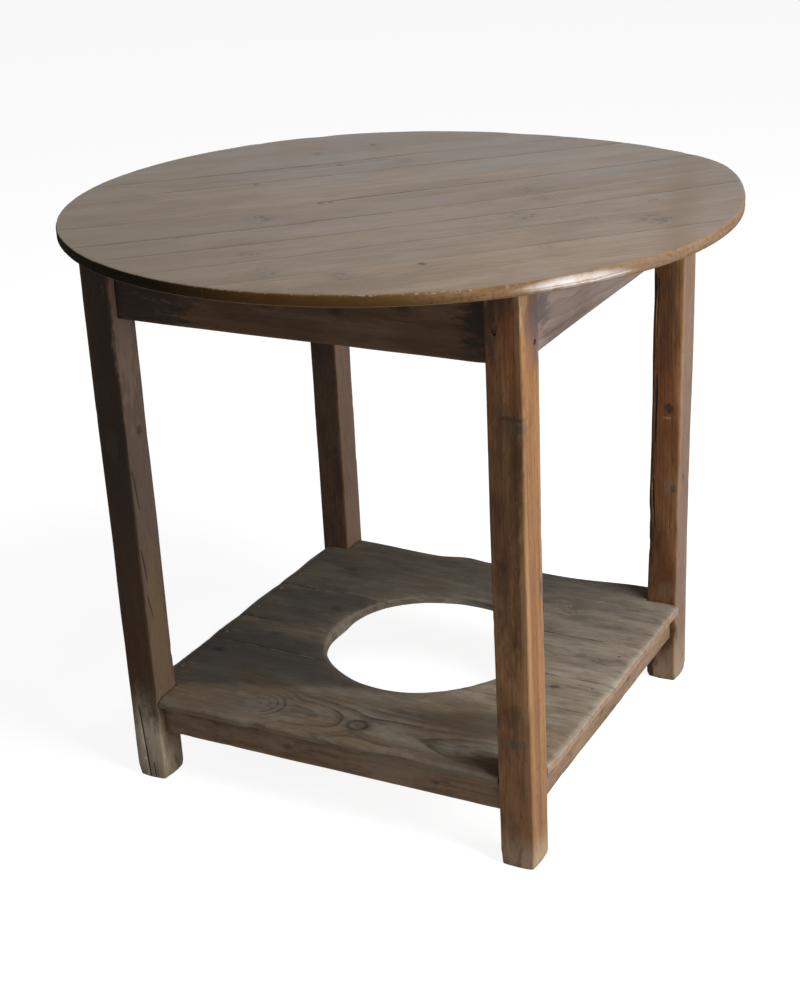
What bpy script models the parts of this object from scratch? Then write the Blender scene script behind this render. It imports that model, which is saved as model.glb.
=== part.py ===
"""Round plank-topped brazier table on a square, pegged pine frame.

Units are metres, +Z is up, and the origin is on the floor under the centre of the round top.
The front of the frame faces -Y. Four legs are tied by four aprons under the top and four low
stretchers. Eight planks, laid corner to corner across the frame, make the round top. Tongued
boards, holed for a brazier pan and notched round the legs, lie on the stretchers as a shelf.
"""
import math

import bmesh
import bpy
from mathutils import Matrix, Vector

# Round top: planks from the back corner of the frame to the front one
TABLE_HEIGHT = 0.785
TOP_DIAMETER = 0.900
TOP_THICKNESS = 0.015
TOP_EDGE_ROUND = 0.003
PLANK_ANGLE = math.radians(45.5)
BACK_SEAM_FROM_CENTRE = 0.258
PLANK_WIDTHS = (0.075, 0.148, 0.098, 0.075, 0.079, 0.085)
PLANK_SEAM_GAP = 0.0004

# Legs: the frame is measured over the outer faces of its legs
FRAME_LENGTH = 0.612
FRAME_DEPTH = 0.599
LEG_LENGTH_WAYS = 0.046
LEG_DEPTH_WAYS = 0.048
LEG_EDGE_ROUND = 0.003
FOOT_WEAR = 0.006

# Aprons, just below the top
APRON_HEIGHT = 0.093
APRON_THICKNESS = 0.022
APRON_SETBACK = 0.010
APRON_TENON_HAUNCH = 0.025
APRON_TENON_SHOULDER = 0.010

# Stretchers, which carry the shelf
STRETCHER_HEIGHT = 0.044
STRETCHER_THICKNESS = 0.025
LONG_STRETCHER_SETBACK = 0.013
SIDE_STRETCHER_SETBACK = 0.009
STRETCHER_TENON_SHOULDER = 0.006

# Tenons share one thickness and are mitred where two of them meet inside a leg
TENON_THICKNESS = 0.010

# Pegs that pin the apron tenons, staggered in height so that two never cross in a leg
PEG_DIAMETER = 0.007
PEG_TIP_DIAMETER = 0.006
PEG_LENGTH = 0.032
PEG_FROM_SHOULDER = 0.013
PEG_ABOVE_APRON_EDGE = 0.042
PEG_STAGGER = 0.018
PEG_SUNK = 0.0006

# Blind dowels, two to a plank, that hold it down on an apron or on a leg's top
DOWEL_DIAMETER = 0.008
DOWEL_IN_FRAME = 0.015
DOWEL_IN_PLANK = 0.009
DOWEL_FROM_SHOULDER = 0.010

# Shelf: it lies a little off the middle of the frame
SHELF_HEIGHT = 0.130
SHELF_THICKNESS = 0.013
SHELF_LENGTH = 0.609
SHELF_DEPTH = 0.586
SHELF_SHIFT = Vector((0.006, -0.006))
SHELF_EDGE_ROUND = 0.0045
SHELF_BOARD_WIDTHS = (0.194, 0.083, 0.120)
SHELF_SEAM_GAP = 0.0006
TONGUE_THICKNESS = 0.0045
TONGUE_DEPTH = 0.006
NOTCH_GAP = 0.0015
PAN_HOLE_DIAMETER = 0.302
PAN_HOLE_CENTRE = Vector((0.013, 0.0065))

# Gap that touching pieces keep, and how far a cutter runs past what it cuts
FIT_GAP = 0.0003
CUTTER_RUN = 0.020

# Facets of round work, and the turn between two faces from which their edge is sharp
RIM_SEGMENTS = 128
HOLE_SEGMENTS = 96
PIN_SEGMENTS = 12
ROUND_SEGMENTS = 3
WEAR_SEGMENTS = 2
SHARP_TURN = math.radians(35)

# Sawn points closer than this are one point, and a cosine from which a face counts as level
SAW_MERGE = 0.00001
LEVEL = 0.9

# The four sides and corners of the frame, anticlockwise from above
SIDES = ("front", "right", "back", "left")
CORNERS = ("front_left", "front_right", "back_right", "back_left")

TOP_UNDERSIDE = TABLE_HEIGHT - TOP_THICKNESS
FRAME_TOP = TOP_UNDERSIDE - FIT_GAP
APRON_BOTTOM = FRAME_TOP - APRON_HEIGHT
SHELF_UNDERSIDE = SHELF_HEIGHT - SHELF_THICKNESS
STRETCHER_TOP = SHELF_UNDERSIDE - FIT_GAP
STRETCHER_BOTTOM = STRETCHER_TOP - STRETCHER_HEIGHT

COLOURS = {
    "varnished_top": ((0.165, 0.095, 0.055), 0.32),
    "leg_pine": ((0.190, 0.080, 0.034), 0.48),
    "apron_pine": ((0.120, 0.058, 0.030), 0.50),
    "stretcher_pine": ((0.165, 0.085, 0.048), 0.60),
    "scrubbed_shelf": ((0.150, 0.115, 0.080), 0.78),
    "peg_wood": ((0.060, 0.030, 0.016), 0.60),
    "dowel_wood": ((0.420, 0.290, 0.170), 0.65),
}


def clear_scene():
    for old in list(bpy.data.objects):
        bpy.data.objects.remove(old, do_unlink=True)


def new_collection(name):
    collection = bpy.data.collections.new(name)
    bpy.context.scene.collection.children.link(collection)
    return collection


def make_materials():
    materials = {}
    for name, (colour, roughness) in COLOURS.items():
        material = bpy.data.materials.new(name)
        material.use_nodes = True
        shader = material.node_tree.nodes["Principled BSDF"]
        shader.inputs["Base Color"].default_value = (*colour, 1.0)
        shader.inputs["Roughness"].default_value = roughness
        shader.inputs["Metallic"].default_value = 0.0
        materials[name] = material
    return materials


class Bench:
    """Collects the pieces and cutters, and places each one in the table."""

    def __init__(self):
        self.pieces = new_collection("round_table")
        self.cutters = new_collection("round_table_cutters")
        self.materials = make_materials()
        self.root = bpy.data.objects.new("round_table_origin", None)
        self.pieces.objects.link(self.root)

    def _object(self, name, bm, collection):
        mesh = bpy.data.meshes.new(name)
        bmesh.ops.recalc_face_normals(bm, faces=bm.faces)
        bm.to_mesh(mesh)
        bm.free()
        made = bpy.data.objects.new(name, mesh)
        made.parent = self.root
        collection.objects.link(made)
        return made

    def piece(self, name, bm, material):
        made = self._object(name, bm, self.pieces)
        made.data.materials.append(self.materials[material])
        return made

    def cutter(self, name, bm):
        made = self._object(name, bm, self.cutters)
        made.hide_render = True
        made.display_type = "WIRE"
        return made


def place(made, point, turn=0.0):
    """Put an object at a point given in a frame that is turned about the table's axis."""
    spin = Matrix.Rotation(turn, 4, "Z")
    made.location = spin @ Vector(point)
    made.rotation_euler = (0.0, 0.0, turn)


def cut(made, cutter):
    modifier = made.modifiers.new("cut_" + cutter.name, "BOOLEAN")
    modifier.operation = "DIFFERENCE"
    modifier.solver = "EXACT"
    modifier.object = cutter


def fuse(made, other):
    modifier = made.modifiers.new("fuse_" + other.name, "BOOLEAN")
    modifier.operation = "UNION"
    modifier.solver = "EXACT"
    modifier.object = other


def box(size):
    bm = bmesh.new()
    bmesh.ops.create_cube(bm, size=1.0)
    bmesh.ops.scale(bm, vec=Vector(size), verts=bm.verts)
    return bm


def pin(diameter, length, end_diameter=None):
    """A round pin along +Z from the origin, tapered if its end has another diameter."""
    end = diameter if end_diameter is None else end_diameter
    bm = bmesh.new()
    bmesh.ops.create_cone(
        bm, cap_ends=True, segments=PIN_SEGMENTS,
        radius1=diameter / 2, radius2=end / 2, depth=length,
    )
    bmesh.ops.translate(bm, vec=(0.0, 0.0, length / 2), verts=bm.verts)
    return bm


def turn_inwards(bm):
    """Lay a pin along +Y, so that it runs into the frame from the front."""
    bmesh.ops.rotate(bm, matrix=Matrix.Rotation(-math.pi / 2, 3, "X"), verts=bm.verts)
    return bm


def round_edges(bm, edges, radius, segments):
    bmesh.ops.bevel(
        bm, geom=edges, offset=radius, segments=segments, profile=0.5,
        affect="EDGES", clamp_overlap=True, material=-1,
    )


def quarter(side):
    """The turn that takes the front of the frame to a side."""
    return SIDES.index(side) * math.pi / 2


def reach(side):
    """Distance from the table's axis to the outer faces of the legs on a side."""
    return (FRAME_DEPTH if side in ("front", "back") else FRAME_LENGTH) / 2


def clear_span(side):
    """Distance between the two legs that a side's rails join."""
    if side in ("front", "back"):
        return FRAME_LENGTH - 2 * LEG_LENGTH_WAYS
    return FRAME_DEPTH - 2 * LEG_DEPTH_WAYS


def neighbour(side):
    return "right" if side in ("front", "back") else "front"


def corner_signs(corner):
    """Which way a corner lies from the table's axis, along X and along Y."""
    ends = corner.split("_")
    return Vector((1 if "right" in ends else -1, 1 if "back" in ends else -1))


def leg_centre(corner):
    outwards = Vector((FRAME_LENGTH - LEG_LENGTH_WAYS, FRAME_DEPTH - LEG_DEPTH_WAYS)) / 2
    return corner_signs(corner) * outwards


def make_leg(bench, corner):
    """A square leg with softened arrises and a foot worn round its bottom edges."""
    bm = box((LEG_LENGTH_WAYS, LEG_DEPTH_WAYS, FRAME_TOP))
    upright = [e for e in bm.edges if abs(e.verts[0].co.z - e.verts[1].co.z) > FRAME_TOP / 2]
    round_edges(bm, upright, LEG_EDGE_ROUND, ROUND_SEGMENTS)
    sole = [f for f in bm.faces if f.normal.z < -LEVEL]
    round_edges(bm, list({e for f in sole for e in f.edges}), FOOT_WEAR, WEAR_SEGMENTS)
    leg = bench.piece("leg_" + corner, bm, "leg_pine")
    place(leg, (*leg_centre(corner), FRAME_TOP / 2))
    return leg


class RailKind:
    """What aprons and stretchers differ in."""

    def __init__(self, name, bottom, height, thickness, setbacks, shoulder, haunch, material):
        self.name = name
        self.bottom = bottom
        self.height = height
        self.thickness = thickness
        self.setbacks = setbacks
        self.tenon_bottom = bottom + shoulder
        self.tenon_top = bottom + height - haunch
        self.material = material

    def middle(self, side):
        """Distance from the table's axis to the middle of the rail's thickness."""
        return reach(side) - self.setbacks[side] - self.thickness / 2


def rail_kinds():
    same = {side: APRON_SETBACK for side in SIDES}
    split = {
        "front": LONG_STRETCHER_SETBACK, "back": LONG_STRETCHER_SETBACK,
        "left": SIDE_STRETCHER_SETBACK, "right": SIDE_STRETCHER_SETBACK,
    }
    apron = RailKind(
        "apron", APRON_BOTTOM, APRON_HEIGHT, APRON_THICKNESS, same,
        APRON_TENON_SHOULDER, APRON_TENON_HAUNCH, "apron_pine",
    )
    stretcher = RailKind(
        "stretcher", STRETCHER_BOTTOM, STRETCHER_HEIGHT, STRETCHER_THICKNESS, split,
        STRETCHER_TENON_SHOULDER, STRETCHER_TENON_SHOULDER, "stretcher_pine",
    )
    return apron, stretcher


def tenon_bar(kind, side):
    """A bar through the whole rail whose mitred ends are the two tenons."""
    half = kind.middle(neighbour(side)) - FIT_GAP
    bm = box((2 * half, TENON_THICKNESS, kind.tenon_top - kind.tenon_bottom))
    for vert in bm.verts:
        vert.co.x -= math.copysign(vert.co.y, vert.co.x)
    return bm


def mortise_bar(kind, side):
    """The bar that sinks both mortises of a rail, a fit gap larger than its tenons."""
    half = kind.middle(neighbour(side)) + TENON_THICKNESS / 2 + FIT_GAP
    height = kind.tenon_top - kind.tenon_bottom + 2 * FIT_GAP
    return box((2 * half, TENON_THICKNESS + 2 * FIT_GAP, height))


def make_rail(bench, kind, side, legs):
    """A rail shouldered against two legs, tenoned into both."""
    turn = quarter(side)
    depth = -kind.middle(side)
    name = f"{kind.name}_{side}"
    rail = bench.piece(
        name, box((clear_span(side) - 2 * FIT_GAP, kind.thickness, kind.height)), kind.material,
    )
    place(rail, (0.0, depth, kind.bottom + kind.height / 2), turn)

    tenon_middle = (kind.tenon_top + kind.tenon_bottom) / 2
    tenons = bench.cutter(name + "_tenons", tenon_bar(kind, side))
    place(tenons, (0.0, depth, tenon_middle), turn)
    fuse(rail, tenons)

    mortises = bench.cutter(name + "_mortises", mortise_bar(kind, side))
    place(mortises, (0.0, depth, tenon_middle), turn)
    for corner, leg in legs.items():
        if side in corner.split("_"):
            cut(leg, mortises)
    return rail


def leg_at(side, end):
    """The corner at one end of a side: end -1 and +1 run anticlockwise from above."""
    next_side = SIDES[(SIDES.index(side) + end) % len(SIDES)]
    return next(corner for corner in CORNERS if {side, next_side} == set(corner.split("_")))


def make_peg(bench, side, end, apron, leg):
    """A whittled peg, driven through the leg and the apron's tenon and sunk a little."""
    turn = quarter(side)
    stagger = 0.0 if side in ("front", "back") else PEG_STAGGER
    height = APRON_BOTTOM + PEG_ABOVE_APRON_EDGE - stagger
    along = end * (clear_span(side) / 2 + PEG_FROM_SHOULDER)
    corner = leg.name.removeprefix("leg_")
    name = f"peg_{side}_{corner}"

    peg = bench.piece(
        name, turn_inwards(pin(PEG_DIAMETER, PEG_LENGTH, PEG_TIP_DIAMETER)), "peg_wood",
    )
    place(peg, (along, PEG_SUNK - reach(side), height), turn)

    bore_length = CUTTER_RUN + PEG_SUNK + PEG_LENGTH + FIT_GAP
    bore = bench.cutter(
        name + "_bore", turn_inwards(pin(PEG_DIAMETER + 2 * FIT_GAP, bore_length)),
    )
    place(bore, (along, -CUTTER_RUN - reach(side), height), turn)
    cut(leg, bore)
    cut(apron, bore)


def plank_seams():
    """Distances of the seams from the table's axis, from the back plank to the front one."""
    seams = [BACK_SEAM_FROM_CENTRE]
    for width in PLANK_WIDTHS:
        seams.append(seams[-1] - width)
    return seams


def plank_spans():
    """Front and back edge of each plank, measured from the table's axis."""
    rim = TOP_DIAMETER / 2
    seams = plank_seams()
    backs = [rim] + [seam - PLANK_SEAM_GAP / 2 for seam in seams]
    fronts = [seam + PLANK_SEAM_GAP / 2 for seam in seams] + [-rim]
    return list(zip(fronts, backs))


def round_slab():
    """The whole round top, its rim eased above and below, before it parts at the seams."""
    radius = TOP_DIAMETER / 2
    bm = bmesh.new()
    bmesh.ops.create_cone(
        bm, cap_ends=True, segments=RIM_SEGMENTS,
        radius1=radius, radius2=radius, depth=TOP_THICKNESS,
    )
    caps = [f for f in bm.faces if abs(f.normal.z) > LEVEL]
    round_edges(bm, list({e for f in caps for e in f.edges}), TOP_EDGE_ROUND, WEAR_SEGMENTS)
    return bm


def saw(bm, across, keep):
    """Saw along X at a distance across, keep one side and close the sawn face."""
    bmesh.ops.bisect_plane(
        bm, geom=list(bm.verts) + list(bm.edges) + list(bm.faces), dist=SAW_MERGE,
        plane_co=(0.0, across, 0.0), plane_no=(0.0, -keep, 0.0), clear_outer=True,
    )
    bmesh.ops.edgeloop_fill(bm, edges=[e for e in bm.edges if e.is_boundary])


def make_planks(bench):
    planks = []
    rim = TOP_DIAMETER / 2
    for number, (front, back) in enumerate(plank_spans(), start=1):
        bm = round_slab()
        if back < rim:
            saw(bm, back, -1)
        if front > -rim:
            saw(bm, front, 1)
        plank = bench.piece(f"top_plank_{number}", bm, "varnished_top")
        place(plank, (0.0, 0.0, TABLE_HEIGHT - TOP_THICKNESS / 2), PLANK_ANGLE)
        planks.append(plank)
    return planks


def plank_ways():
    """Unit vectors along the planks and across them, towards the back of the table."""
    along = Vector((math.cos(PLANK_ANGLE), math.sin(PLANK_ANGLE)))
    return along, along.orthogonal()


def bearing_offset(front, back, corner_offset):
    """Middle of the part of a plank that lies over the frame, measured from the table's axis."""
    return (max(front, -corner_offset) + min(back, corner_offset)) / 2


def bearing_points(offset, half):
    """The two points where a line along the planks crosses the ring of the aprons' middles."""
    along, across = plank_ways()
    start = across * offset
    reaches = [sorted(((-h - s) / a, (h - s) / a)) for h, s, a in zip(half, start, along)]
    enter = max(near for near, far in reaches)
    leave = min(far for near, far in reaches)
    return start + along * enter, start + along * leave


def side_under(point, half):
    """The side of the ring of aprons that a point lies on."""
    if abs(point.x) / half.x > abs(point.y) / half.y:
        return "right" if point.x > 0 else "left"
    return "back" if point.y > 0 else "front"


def clear_of_shoulder(place_along, side):
    """The place moved along its side until a dowel there misses the joint of apron and leg."""
    shoulder = clear_span(side) / 2
    past = abs(place_along) - shoulder
    if abs(past) < DOWEL_FROM_SHOULDER:
        past = math.copysign(DOWEL_FROM_SHOULDER, past)
    return math.copysign(shoulder + past, place_along), past > 0


def make_dowel(bench, name, point, plank, holder):
    """A blind dowel, half in a plank and half in the leg or apron below it."""
    length = DOWEL_IN_FRAME + DOWEL_IN_PLANK
    dowel = bench.piece(name, pin(DOWEL_DIAMETER, length), "dowel_wood")
    place(dowel, (*point, TOP_UNDERSIDE - DOWEL_IN_FRAME))
    bore = bench.cutter(
        name + "_bore", pin(DOWEL_DIAMETER + 2 * FIT_GAP, length + 2 * FIT_GAP),
    )
    place(bore, (*point, TOP_UNDERSIDE - DOWEL_IN_FRAME - FIT_GAP))
    cut(plank, bore)
    cut(holder, bore)


def make_dowels(bench, planks, legs, aprons, kind):
    """Two dowels to a plank, each in the apron or the leg that it bears on."""
    half = Vector((kind.middle("right"), kind.middle("front")))
    along, across = plank_ways()
    corner_offset = abs(across.x) * half.x + abs(across.y) * half.y
    for number, (front, back) in enumerate(plank_spans(), start=1):
        points = bearing_points(bearing_offset(front, back, corner_offset), half)
        for end, point in zip(("left", "right"), points):
            side = side_under(point, half)
            turn = Matrix.Rotation(quarter(side), 2)
            place_along, over_leg = clear_of_shoulder((turn.inverted() @ point).x, side)
            corner = leg_at(side, 1 if place_along > 0 else -1)
            holder = legs[corner] if over_leg else aprons[side]
            seat = turn @ Vector((place_along, -kind.middle(side)))
            make_dowel(bench, f"top_dowel_{number}_{end}", seat, planks[number - 1], holder)


def arc(centre, radius, start, end):
    """Points of an arc in a profile, from one angle to another, both ends included."""
    for step in range(ROUND_SEGMENTS + 1):
        angle = start + (end - start) * step / ROUND_SEGMENTS
        yield (centre[0] + radius * math.cos(angle), centre[1] + radius * math.sin(angle))


def board_profile(front, back, grooved, tongued):
    """Section of a shelf board across the table: plain edges are rounded on top."""
    top = SHELF_THICKNESS / 2
    half = TONGUE_THICKNESS / 2
    radius = SHELF_EDGE_ROUND
    points = [(front, -top), (back, -top)]
    if tongued:
        tip = back + TONGUE_DEPTH
        points += [(back, -half), (tip, -half), (tip, half), (back, half), (back, top)]
    else:
        points += arc((back - radius, top - radius), radius, 0.0, math.pi / 2)
    if grooved:
        floor = front + TONGUE_DEPTH + FIT_GAP
        lip = half + FIT_GAP
        points += [(front, top), (front, lip), (floor, lip), (floor, -lip), (front, -lip)]
    else:
        points += arc((front + radius, top - radius), radius, math.pi / 2, math.pi)
    return points


def run_profile(points, start, end):
    """Run a section, given across and up, along X from start to end."""
    bm = bmesh.new()
    face = bm.faces.new([bm.verts.new((start, across, up)) for across, up in points])
    grown = bmesh.ops.extrude_face_region(bm, geom=[face])["geom"]
    moved = [item for item in grown if isinstance(item, bmesh.types.BMVert)]
    bmesh.ops.translate(bm, vec=(end - start, 0.0, 0.0), verts=moved)
    return bm


def shelf_spans():
    """Front and back edge of each shelf board, from the front board to the back one."""
    front = SHELF_SHIFT.y - SHELF_DEPTH / 2
    back = SHELF_SHIFT.y + SHELF_DEPTH / 2
    seams = []
    for width in SHELF_BOARD_WIDTHS:
        seams.append((seams[-1] if seams else front) + width)
    fronts = [front] + [seam + SHELF_SEAM_GAP / 2 for seam in seams]
    backs = [seam - SHELF_SEAM_GAP / 2 for seam in seams] + [back]
    return list(zip(fronts, backs))


def pan_hole_cutter(bench):
    bm = bmesh.new()
    bmesh.ops.create_cone(
        bm, cap_ends=True, segments=HOLE_SEGMENTS, depth=SHELF_THICKNESS + 2 * CUTTER_RUN,
        radius1=PAN_HOLE_DIAMETER / 2, radius2=PAN_HOLE_DIAMETER / 2,
    )
    cutter = bench.cutter("pan_hole", bm)
    place(cutter, (*PAN_HOLE_CENTRE, SHELF_UNDERSIDE + SHELF_THICKNESS / 2))
    return cutter


def notch_cutter(bench, corner):
    """A block from a leg's inner faces outwards, past the corner of the shelf."""
    reach_out = Vector((LEG_LENGTH_WAYS, LEG_DEPTH_WAYS)) / 2
    signs = corner_signs(corner)
    inner = leg_centre(corner) - signs * reach_out - signs * NOTCH_GAP
    size = 2 * reach_out + Vector((CUTTER_RUN, CUTTER_RUN))
    middle = inner + signs * size / 2
    cutter = bench.cutter("notch_" + corner, box((*size, SHELF_THICKNESS + 2 * CUTTER_RUN)))
    place(cutter, (*middle, SHELF_UNDERSIDE + SHELF_THICKNESS / 2))
    return cutter


def shelf_lengths(front, back):
    """Pieces of a board along X: a board that the pan hole severs is two short ones."""
    left = SHELF_SHIFT.x - SHELF_LENGTH / 2
    right = SHELF_SHIFT.x + SHELF_LENGTH / 2
    radius = PAN_HOLE_DIAMETER / 2
    middle = PAN_HOLE_CENTRE.x
    severed = front > PAN_HOLE_CENTRE.y - radius and back + TONGUE_DEPTH < PAN_HOLE_CENTRE.y + radius
    if severed:
        return [("_left", left, middle), ("_right", middle, right)]
    return [("", left, right)]


def make_shelf(bench):
    hole = pan_hole_cutter(bench)
    notches = [notch_cutter(bench, corner) for corner in CORNERS]
    spans = shelf_spans()
    for number, (front, back) in enumerate(spans, start=1):
        profile = board_profile(front, back, grooved=number > 1, tongued=number < len(spans))
        for suffix, start, end in shelf_lengths(front, back):
            board = bench.piece(
                f"shelf_board_{number}{suffix}", run_profile(profile, start, end), "scrubbed_shelf",
            )
            place(board, (0.0, 0.0, SHELF_UNDERSIDE + SHELF_THICKNESS / 2))
            for cutter in [hole] + notches:
                cut(board, cutter)


def shade_round_work(bench):
    for made in bench.pieces.objects:
        if made.type == "MESH":
            made.data.shade_smooth()
            made.data.set_sharp_from_angle(angle=SHARP_TURN)


def main():
    clear_scene()
    bench = Bench()
    apron_kind, stretcher_kind = rail_kinds()
    legs = {corner: make_leg(bench, corner) for corner in CORNERS}
    aprons = {side: make_rail(bench, apron_kind, side, legs) for side in SIDES}
    for side in SIDES:
        make_rail(bench, stretcher_kind, side, legs)
    for side, apron in aprons.items():
        for end in (-1, 1):
            make_peg(bench, side, end, apron, legs[leg_at(side, end)])
    planks = make_planks(bench)
    make_dowels(bench, planks, legs, aprons, apron_kind)
    make_shelf(bench)
    shade_round_work(bench)


main()
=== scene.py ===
import functools
import math
from collections import namedtuple

import bmesh
import bpy
from mathutils import Euler, Matrix, Vector, noise


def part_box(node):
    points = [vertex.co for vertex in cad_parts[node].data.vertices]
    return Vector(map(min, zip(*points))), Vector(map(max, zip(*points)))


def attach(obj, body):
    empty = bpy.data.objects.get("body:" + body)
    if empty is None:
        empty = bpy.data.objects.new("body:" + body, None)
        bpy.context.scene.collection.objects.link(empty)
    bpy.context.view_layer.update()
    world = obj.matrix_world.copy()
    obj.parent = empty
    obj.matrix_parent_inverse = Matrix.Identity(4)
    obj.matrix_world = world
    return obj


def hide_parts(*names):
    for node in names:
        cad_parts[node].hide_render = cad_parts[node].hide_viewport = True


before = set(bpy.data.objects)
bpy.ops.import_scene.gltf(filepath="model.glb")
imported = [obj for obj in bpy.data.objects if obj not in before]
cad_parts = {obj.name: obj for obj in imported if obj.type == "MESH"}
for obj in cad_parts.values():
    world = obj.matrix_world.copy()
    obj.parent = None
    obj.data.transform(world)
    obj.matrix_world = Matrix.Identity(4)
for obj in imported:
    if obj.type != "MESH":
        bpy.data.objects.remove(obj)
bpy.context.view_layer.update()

EAST = Vector((1.0, 0.0, 0.0))
NORTH = Vector((0.0, 1.0, 0.0))
UP = Vector((0.0, 0.0, 1.0))

# Round top
RIM_RADIUS = 0.450
TOP_HEIGHT = 0.785
TOP_UNDERSIDE = 0.770
FRAME_TOP = 0.7698
PLANK_TURN = math.radians(45.5)
PLANK_ALONG = Vector((math.cos(PLANK_TURN), math.sin(PLANK_TURN), 0.0))
PLANK_ACROSS = Vector((-math.sin(PLANK_TURN), math.cos(PLANK_TURN), 0.0))
SEAMS = (0.258, 0.183, 0.035, -0.063, -0.138, -0.217, -0.302)

# How the rim rises, sinks and bulges: direction and width in degrees, size
RIM_LIFTS = ((-150.0, 75.0, 0.0052), (87.0, 24.0, -0.0042), (38.0, 16.0, 0.0052))
RIM_BULGES = ((40.0, 14.0, 0.0055),)
WARP_START = 0.45

# Legs a little out of plumb: middle of the leg, how far its head and its foot stand off east and north
LEG_LEANS = (
    (Vector((0.283, 0.2755)), Vector((0.0034, 0.0018, 0.0)), Vector((-0.0030, -0.0016, 0.0))),
    (Vector((0.283, -0.2755)), Vector((0.0003, 0.0002, 0.0)), Vector((0.0018, 0.0010, 0.0))),
    (Vector((-0.283, -0.2755)), Vector((-0.0014, -0.0008, 0.0)), Vector((0.0006, 0.0003, 0.0))),
)
LEAN_REACH = 0.17
LEAN_LOW = 0.05
LEAN_HIGH = 0.74

# The nearest leg is stouter: by how much, from where to where that grows on its two outer faces, and from
# where to where that corner of the frame sets in
STOUT = 0.0014
STOUT_EAST = (0.284, 0.304)
STOUT_SOUTH = (-0.277, -0.297)
NEAR_EAST = (0.20, 0.25)
NEAR_SOUTH = (-0.20, -0.25)

# Shelf
SHELF_HEIGHT = 0.130
SHELF_UNDERSIDE = 0.117
SHELF_LEFT = -0.2985
SHELF_RIGHT = 0.3105
SHELF_FRONT = -0.299
SHELF_BACK = 0.287
SHELF_SEAMS = (-0.105, -0.022, 0.098)
HOLE_CENTRE = Vector((0.013, 0.0065, 0.0))
HOLE_RADIUS = 0.151

# Camera, at the angle of the photograph
CAMERA_PLACE = Vector((1.1253, -2.1134, 1.3519))
CAMERA_YAW = math.radians(28.492)
CAMERA_PITCH = math.radians(22.618)
CAMERA_ROLL = math.radians(-2.902)
CAMERA_LENS = 66.04
CAMERA_SENSOR = 36.0

# The vector noise takes its place from a seed, which is the time of day unless it is set
SWAY_SEED = 5
SWAY_SCALE = 4.0
SWAY_SIZE = 0.0009
noise.seed_set(SWAY_SEED)

SHARP_TURN = math.radians(35)
CORNERS = ("front_left", "front_right", "back_right", "back_left")
SIDES = ("front", "right", "back", "left")


# Shader maths

class Link:
    """A socket of a finish. Arithmetic on it adds Math nodes."""

    def __init__(self, finish, socket):
        self.finish = finish
        self.socket = socket

    def maths(self, operation, *others):
        return self.finish.node("Math", {"operation": operation}, dict(enumerate((self,) + others)))

    def __rsub__(self, other):
        return self.finish.node("Math", {"operation": "SUBTRACT"}, {0: other, 1: self})

    __add__ = __radd__ = functools.partialmethod(maths, "ADD")
    __mul__ = __rmul__ = functools.partialmethod(maths, "MULTIPLY")
    __sub__ = functools.partialmethod(maths, "SUBTRACT")
    __truediv__ = functools.partialmethod(maths, "DIVIDE")
    __pow__ = functools.partialmethod(maths, "POWER")
    __abs__ = functools.partialmethod(maths, "ABSOLUTE")
    least = functools.partialmethod(maths, "MINIMUM")
    most = functools.partialmethod(maths, "MAXIMUM")
    fraction = functools.partialmethod(maths, "FRACT")
    whole = functools.partialmethod(maths, "FLOOR")
    root = functools.partialmethod(maths, "SQRT")

    def fade(self):
        """Bell curve: 1 where this is 0, falling away on both sides."""
        return self.finish.node("Math", {"operation": "EXPONENT"}, {0: self * self * -1.0})

    def ease(self, start, end):
        """0 at start, 1 at end, smooth between them and level outside."""
        return self.finish.node(
            "MapRange", {"interpolation_type": "SMOOTHSTEP"}, {"Value": self, 1: start, 2: end},
        )


class Finish:
    """A material under construction."""

    def __init__(self, name):
        self.material = bpy.data.materials.new(name)
        self.material.use_nodes = True
        self.tree = self.material.node_tree
        self.shader = self.tree.nodes["Principled BSDF"]
        self.colour = None

    def node(self, kind, settings=None, inputs=None, output=0):
        made = self.tree.nodes.new("ShaderNode" + kind)
        for name, value in (settings or {}).items():
            setattr(made, name, value)
        for name, value in (inputs or {}).items():
            self.feed(made.inputs[name], value)
        return Link(self, made.outputs[output])

    def feed(self, socket, value):
        if isinstance(value, Link):
            self.tree.links.new(value.socket, socket)
        elif socket.type == "RGBA":
            socket.default_value = (*value, 1.0)
        else:
            socket.default_value = value

    def blend(self, mask, under, over):
        """Colour over another one, as far as the mask says."""
        return self.node("Mix", {"data_type": "RGBA"}, {0: mask, 6: under, 7: over}, output=2)

    def start_colour(self, mask, under, over):
        self.colour = self.blend(mask, under, over)

    def lay(self, mask, tint):
        """Lay a tint over the colour so far, as far as the mask says."""
        self.colour = self.blend(mask, self.colour, tint)

    def give(self, **sockets):
        for name, value in sockets.items():
            self.feed(self.shader.inputs[name.replace("_", " ")], value)
        return self.material


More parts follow.
